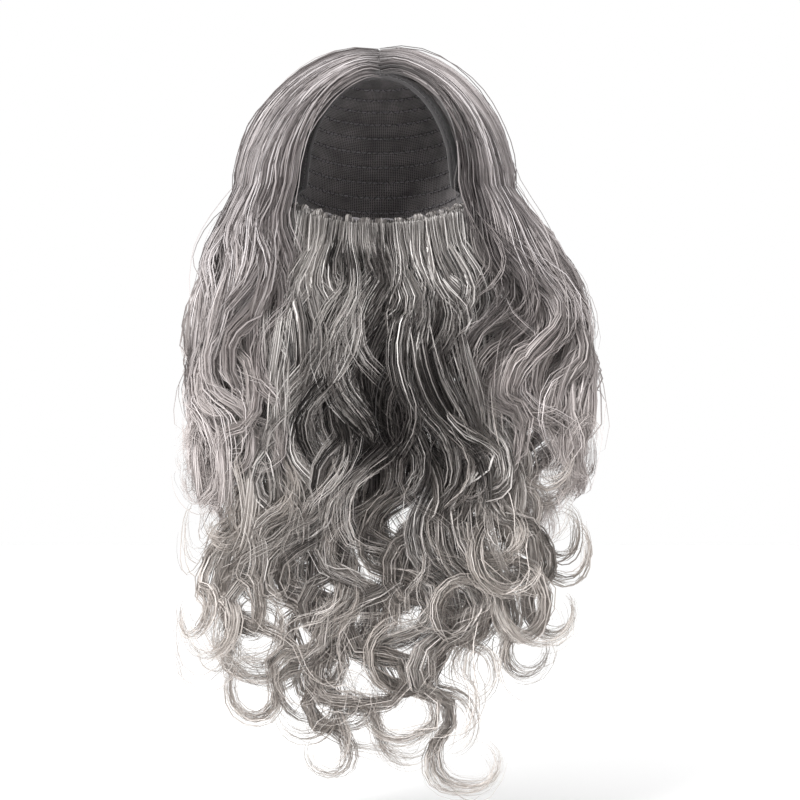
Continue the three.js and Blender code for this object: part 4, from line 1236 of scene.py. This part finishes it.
def band_grid(grow):
    y = np.linspace(CAP_FRONT_Y, CAP_FRONT_Y + BAND_WIDTH, 5)[:, None]
    return round_y(y, np.linspace(-1, 1, 90)[None] * BAND_HALF_ANGLE, grow)


band_in, band_out = CAP_WALL + GAP, CAP_WALL + GAP + BAND_WALL
band = cloth_wall("front_elastic_band", band_grid(band_out), band_grid(band_in))
ride_as(band, "band", woven_elastic, "cap_front_band")


def tape_grid(grow):
    y = np.linspace(CAP_FRONT_Y + BAND_WIDTH + GAP, TAPE_END_Y, 40)
    x = np.linspace(-TAPE_HALF, TAPE_HALF, 5)[:, None]
    size = CAP_INSIDE + grow
    top = EAR_Z + size[2] * np.sqrt(1 - (x / size[0]) ** 2 - (y[None] / size[1]) ** 2)
    return points(x, y[None], top)


tape = cloth_wall("parting_tape", tape_grid(band_out), tape_grid(band_in))
ride_as(tape, "band", parting_cloth, "parting_strip")

FACE_HALF_WIDTH, FACE_HALF_DEPTH = 76.0, 97.0
CHIN_HALF_WIDTH, CHIN_HALF_DEPTH = 60.0, 92.0
CHIN_Z, CHEEK_Z = -214.0, -168.0
BEARD_WALL = 1.5
STRAP_LAP = np.radians(7)
STRAP_HEIGHT, STRAP_WALL = 10.0, 1.2
STRAP_TOP_FRONT_Z = -132.5
STRAP_NAPE_Y = 91.0


def strap_grid(wall):
    start = BEARD_HALF_ANGLE - STRAP_LAP
    azimuth = np.linspace(start, 2 * np.pi - start, 110)
    share = (np.cos(start) - np.cos(azimuth)) / (np.cos(start) + 1)
    inside = BEARD_WALL + GAP
    deep = (FACE_HALF_DEPTH + inside) * (1 - share) + STRAP_NAPE_Y * share
    top = STRAP_TOP_FRONT_Z * (1 - share) + (rim_z(STRAP_NAPE_Y) - GAP) * share
    down = np.linspace(0, STRAP_HEIGHT, 5)[:, None]
    x = (FACE_HALF_WIDTH + inside + wall) * np.sin(azimuth)
    y = -(deep + wall) * np.cos(azimuth)
    return points(x, y, top[None] - down)


strap = cloth_wall("beard_elastic_strap", strap_grid(STRAP_WALL), strap_grid(0.0))
ride_as(strap, "strap", woven_elastic, "beard_strap")

# %% [markdown]
# ## The beard's backing and its sewn edge
# The backing is a stiffer net, curved round the wearer. Along its top the hair is gathered onto
# a narrow tape. Gathering makes small puffs, and the fibre folds over each of them.


# %% Backing and edge tape
def face_grid(azimuth, rows, top_z, bottom_z, grow):
    share = np.linspace(0, 1, rows)[:, None]
    z = top_z[None] * (1 - share) + bottom_z[None] * share
    fall = np.clip((BEARD_TOP_CORNER_Z - z) / (BEARD_TOP_CORNER_Z - CHIN_Z), 0, 1) ** 2
    wide = FACE_HALF_WIDTH + (CHIN_HALF_WIDTH - FACE_HALF_WIDTH) * fall
    deep = FACE_HALF_DEPTH + (CHIN_HALF_DEPTH - FACE_HALF_DEPTH) * fall
    return points((wide + grow) * np.sin(azimuth), -(deep + grow) * np.cos(azimuth), z)


face_turn = np.linspace(-BEARD_HALF_ANGLE, BEARD_HALF_ANGLE, 80)
backing_low = CHIN_Z + (CHEEK_Z - CHIN_Z) * (np.abs(face_turn) / BEARD_HALF_ANGLE) ** 3
backing = cloth_wall(
    "beard_backing_net",
    face_grid(face_turn, 22, beard_top_z(face_turn), backing_low, BEARD_WALL),
    face_grid(face_turn, 22, beard_top_z(face_turn), backing_low, 0.0),
)
ride_as(backing, "cap_net", backing_net, "beard_backing")

# %% [markdown]
# The tape's top rises and falls with the puffs, and its outside swells over each of them.

# %% The gathered tape
EDGE_PUFFS = 13
EDGE_RUFFLE, EDGE_WALL, EDGE_LIFT = 1.1, 2.0, 1.0
TAPE_ENDS, TAPE_TOP_CUT = 0.03, 0.6
SLOWER = 0.55  # the top rises and falls about half as often as the puffs do
tape_turn = np.linspace(-BEARD_HALF_ANGLE + TAPE_ENDS, BEARD_HALF_ANGLE - TAPE_ENDS, 260)
puffs = EDGE_PUFFS * np.pi * tape_turn / BEARD_HALF_ANGLE
ruffle = EDGE_RUFFLE * (1 + np.sin(puffs))
tape_top = beard_top_z(tape_turn) + EDGE_LIFT * (1 + np.sin(SLOWER * puffs)) - TAPE_TOP_CUT
tape_low = beard_top_z(tape_turn) - EDGE_HEIGHT + EDGE_LIFT
over_backing = BEARD_WALL + GAP
gathered = cloth_wall(
    "beard_edge_tape",
    face_grid(tape_turn, 6, tape_top, tape_low, over_backing + EDGE_WALL + ruffle - 0.5),
    face_grid(tape_turn, 6, tape_top, tape_low, over_backing + 0.5 * ruffle),
)
ride_as(gathered, "beard_weft", edge_tape, "beard_edge")

# %% [markdown]
# Short strands fold over that tape: they come up behind it, turn over its top and run down the
# front, where they join the long hair. Each puff stands a little higher than the dips beside it, and
# its strands are coloured paler as a painted highlight, while those in the dips get painted shade.

# %% Hair folded over the edge
FOLD_LOCKS, FOLD_STATIONS = 84, 11
FOLD_ENDS = 0.02
FOLD_TURNS_UNTIL = 0.42  # share of the strand that goes up, over and down again
FOLD_RISE, PUFF_RISE, PUFF_UNEVEN = 1.0, 1.3, 0.5
FOLD_BEHIND, FOLD_DEEP, PUFF_DEEP, FOLD_SPREADS = 1.2, 2.4, 0.8, 2.5
FOLD_START, FOLD_FALL = 2.5, 1.5
FOLD_LENGTHS, FOLD_SWAY = (14, 34), 0.02
FOLD_HALF_WIDE, FOLD_HALF_DEEP = 1.9, 0.45
# PUFF_PAINTED_LIGHT: painted highlight on each puff and painted shade in the dips
FOLD_SHADE, FOLD_SHADE_SPREAD, PUFF_PAINTED_LIGHT = 0.46, 0.16, 0.06


def folded_locks():
    azimuth = dealt(FOLD_LOCKS, -BEARD_HALF_ANGLE + FOLD_ENDS, BEARD_HALF_ANGLE - FOLD_ENDS)
    puff = np.sin(EDGE_PUFFS * np.pi * azimuth / BEARD_HALF_ANGLE) + rng.normal(0, PUFF_UNEVEN, FOLD_LOCKS)
    over = np.linspace(0, 1, FOLD_STATIONS)[None]
    bend = np.clip(over / FOLD_TURNS_UNTIL, 0, 1)
    run = np.clip((over - FOLD_TURNS_UNTIL) / (1 - FOLD_TURNS_UNTIL), 0, 1)
    rise = FOLD_START + FOLD_RISE + PUFF_RISE * puff[:, None]
    deep = FOLD_DEEP + PUFF_DEEP * puff[:, None]
    grow = BEARD_WALL + GAP + FOLD_BEHIND + deep * (1 - np.cos(np.pi * bend)) / 2 + FOLD_SPREADS * run
    length = rng.uniform(*FOLD_LENGTHS, FOLD_LOCKS)[:, None]
    low = beard_top_z(azimuth)[:, None] - FOLD_START
    z = low + rise * np.sin(np.pi * bend) - length * run - FOLD_FALL * bend
    sway = azimuth[:, None] + rng.normal(0, FOLD_SWAY, FOLD_LOCKS)[:, None] * over
    point = points((FACE_HALF_WIDTH + grow) * np.sin(sway), -(FACE_HALF_DEPTH + grow) * np.cos(sway), z)
    flat = points(np.sin(sway), -np.cos(sway), 0.0)
    turning = np.pi * (bend - 0.5)[..., None]
    out, side = frames_of(point, unit(flat * np.sin(turning) + np.array([0, 0, 1.0]) * np.cos(turning)))
    even = np.ones((FOLD_LOCKS, FOLD_STATIONS))
    # Painted light and shade: paler on the puffs, darker in the dips
    shade = np.clip(rng.normal(FOLD_SHADE, FOLD_SHADE_SPREAD, FOLD_LOCKS) + PUFF_PAINTED_LIGHT * puff, 0, 1)
    return {
        "point": point, "out": out, "side": side, "shade": shade[:, None] * even,
        "wide": FOLD_HALF_WIDE * even, "deep": FOLD_HALF_DEEP * even,
    }


folded = hair_piece(
    "beard_edge_folded_hair", folded_locks(), beard_fibre,
    Strands_in_a_lock=16, Seed=51, Ribbon_width=0.0009, Frizz=0.0008, Frizz_size=60.0, Shortest=0.7,
)
ride_as(folded, "beard_weft", None)

# %% [markdown]
# ## The floor
# A studio floor only has to catch a soft shadow, so it is one large flat sheet of matt white. It
# lies a little under the longest ringlets, because the hairpiece hangs free as if worn.

# %% Floor
FLOOR_Z = -655.0
FLOOR_LEFT, FLOOR_RIGHT, FLOOR_NEAR, FLOOR_FAR = -4000, 4000, -3000, 4000
floor_corners = [
    (FLOOR_LEFT, FLOOR_NEAR, FLOOR_Z), (FLOOR_RIGHT, FLOOR_NEAR, FLOOR_Z),
    (FLOOR_RIGHT, FLOOR_FAR, FLOOR_Z), (FLOOR_LEFT, FLOOR_FAR, FLOOR_Z),
]
floor = mesh_object("floor", floor_corners, [(0, 1, 2, 3)])
floor_material, floor_shader, _ = started_material("matt white studio floor")
fill(floor_shader, {"Base Color": linear("#fbfbfb")})
floor.data.materials.append(floor_material)

# %% [markdown]
# ## Joining the imported model
# Each piece of hair is tied to the body that it moves with and, where it stands for a solid, hides
# the solid that it takes the place of. The slot that its colour belongs to is only printed.

# %% Riding and replacing
for piece, slot_name, nodes in [
    (hair_left, "wig_hair", ["hair_left"]),
    (hair_right, "wig_hair", ["hair_right"]),
    (hair_back, "wig_hair", ["hair_back"]),
    (beard_over, "beard_hair", ["beard_hair"]),
    (beard_under, "beard_hair", []),
    (strays, "wig_hair", []),
    (beard_strays, "beard_hair", []),
]:
    ride_as(piece, slot_name, None, *nodes)

# %% [markdown]
# ## Counting
# Last, the script counts the triangles that it adds to the imported model.

# %% Counting
added = [piece for piece in bpy.data.objects if piece.type == "MESH" and body_of(piece)]
added = [piece for piece in added if piece.name not in frame["nodes"]]
print("triangles that this script adds:", sum(triangles_of(piece) for piece in added))
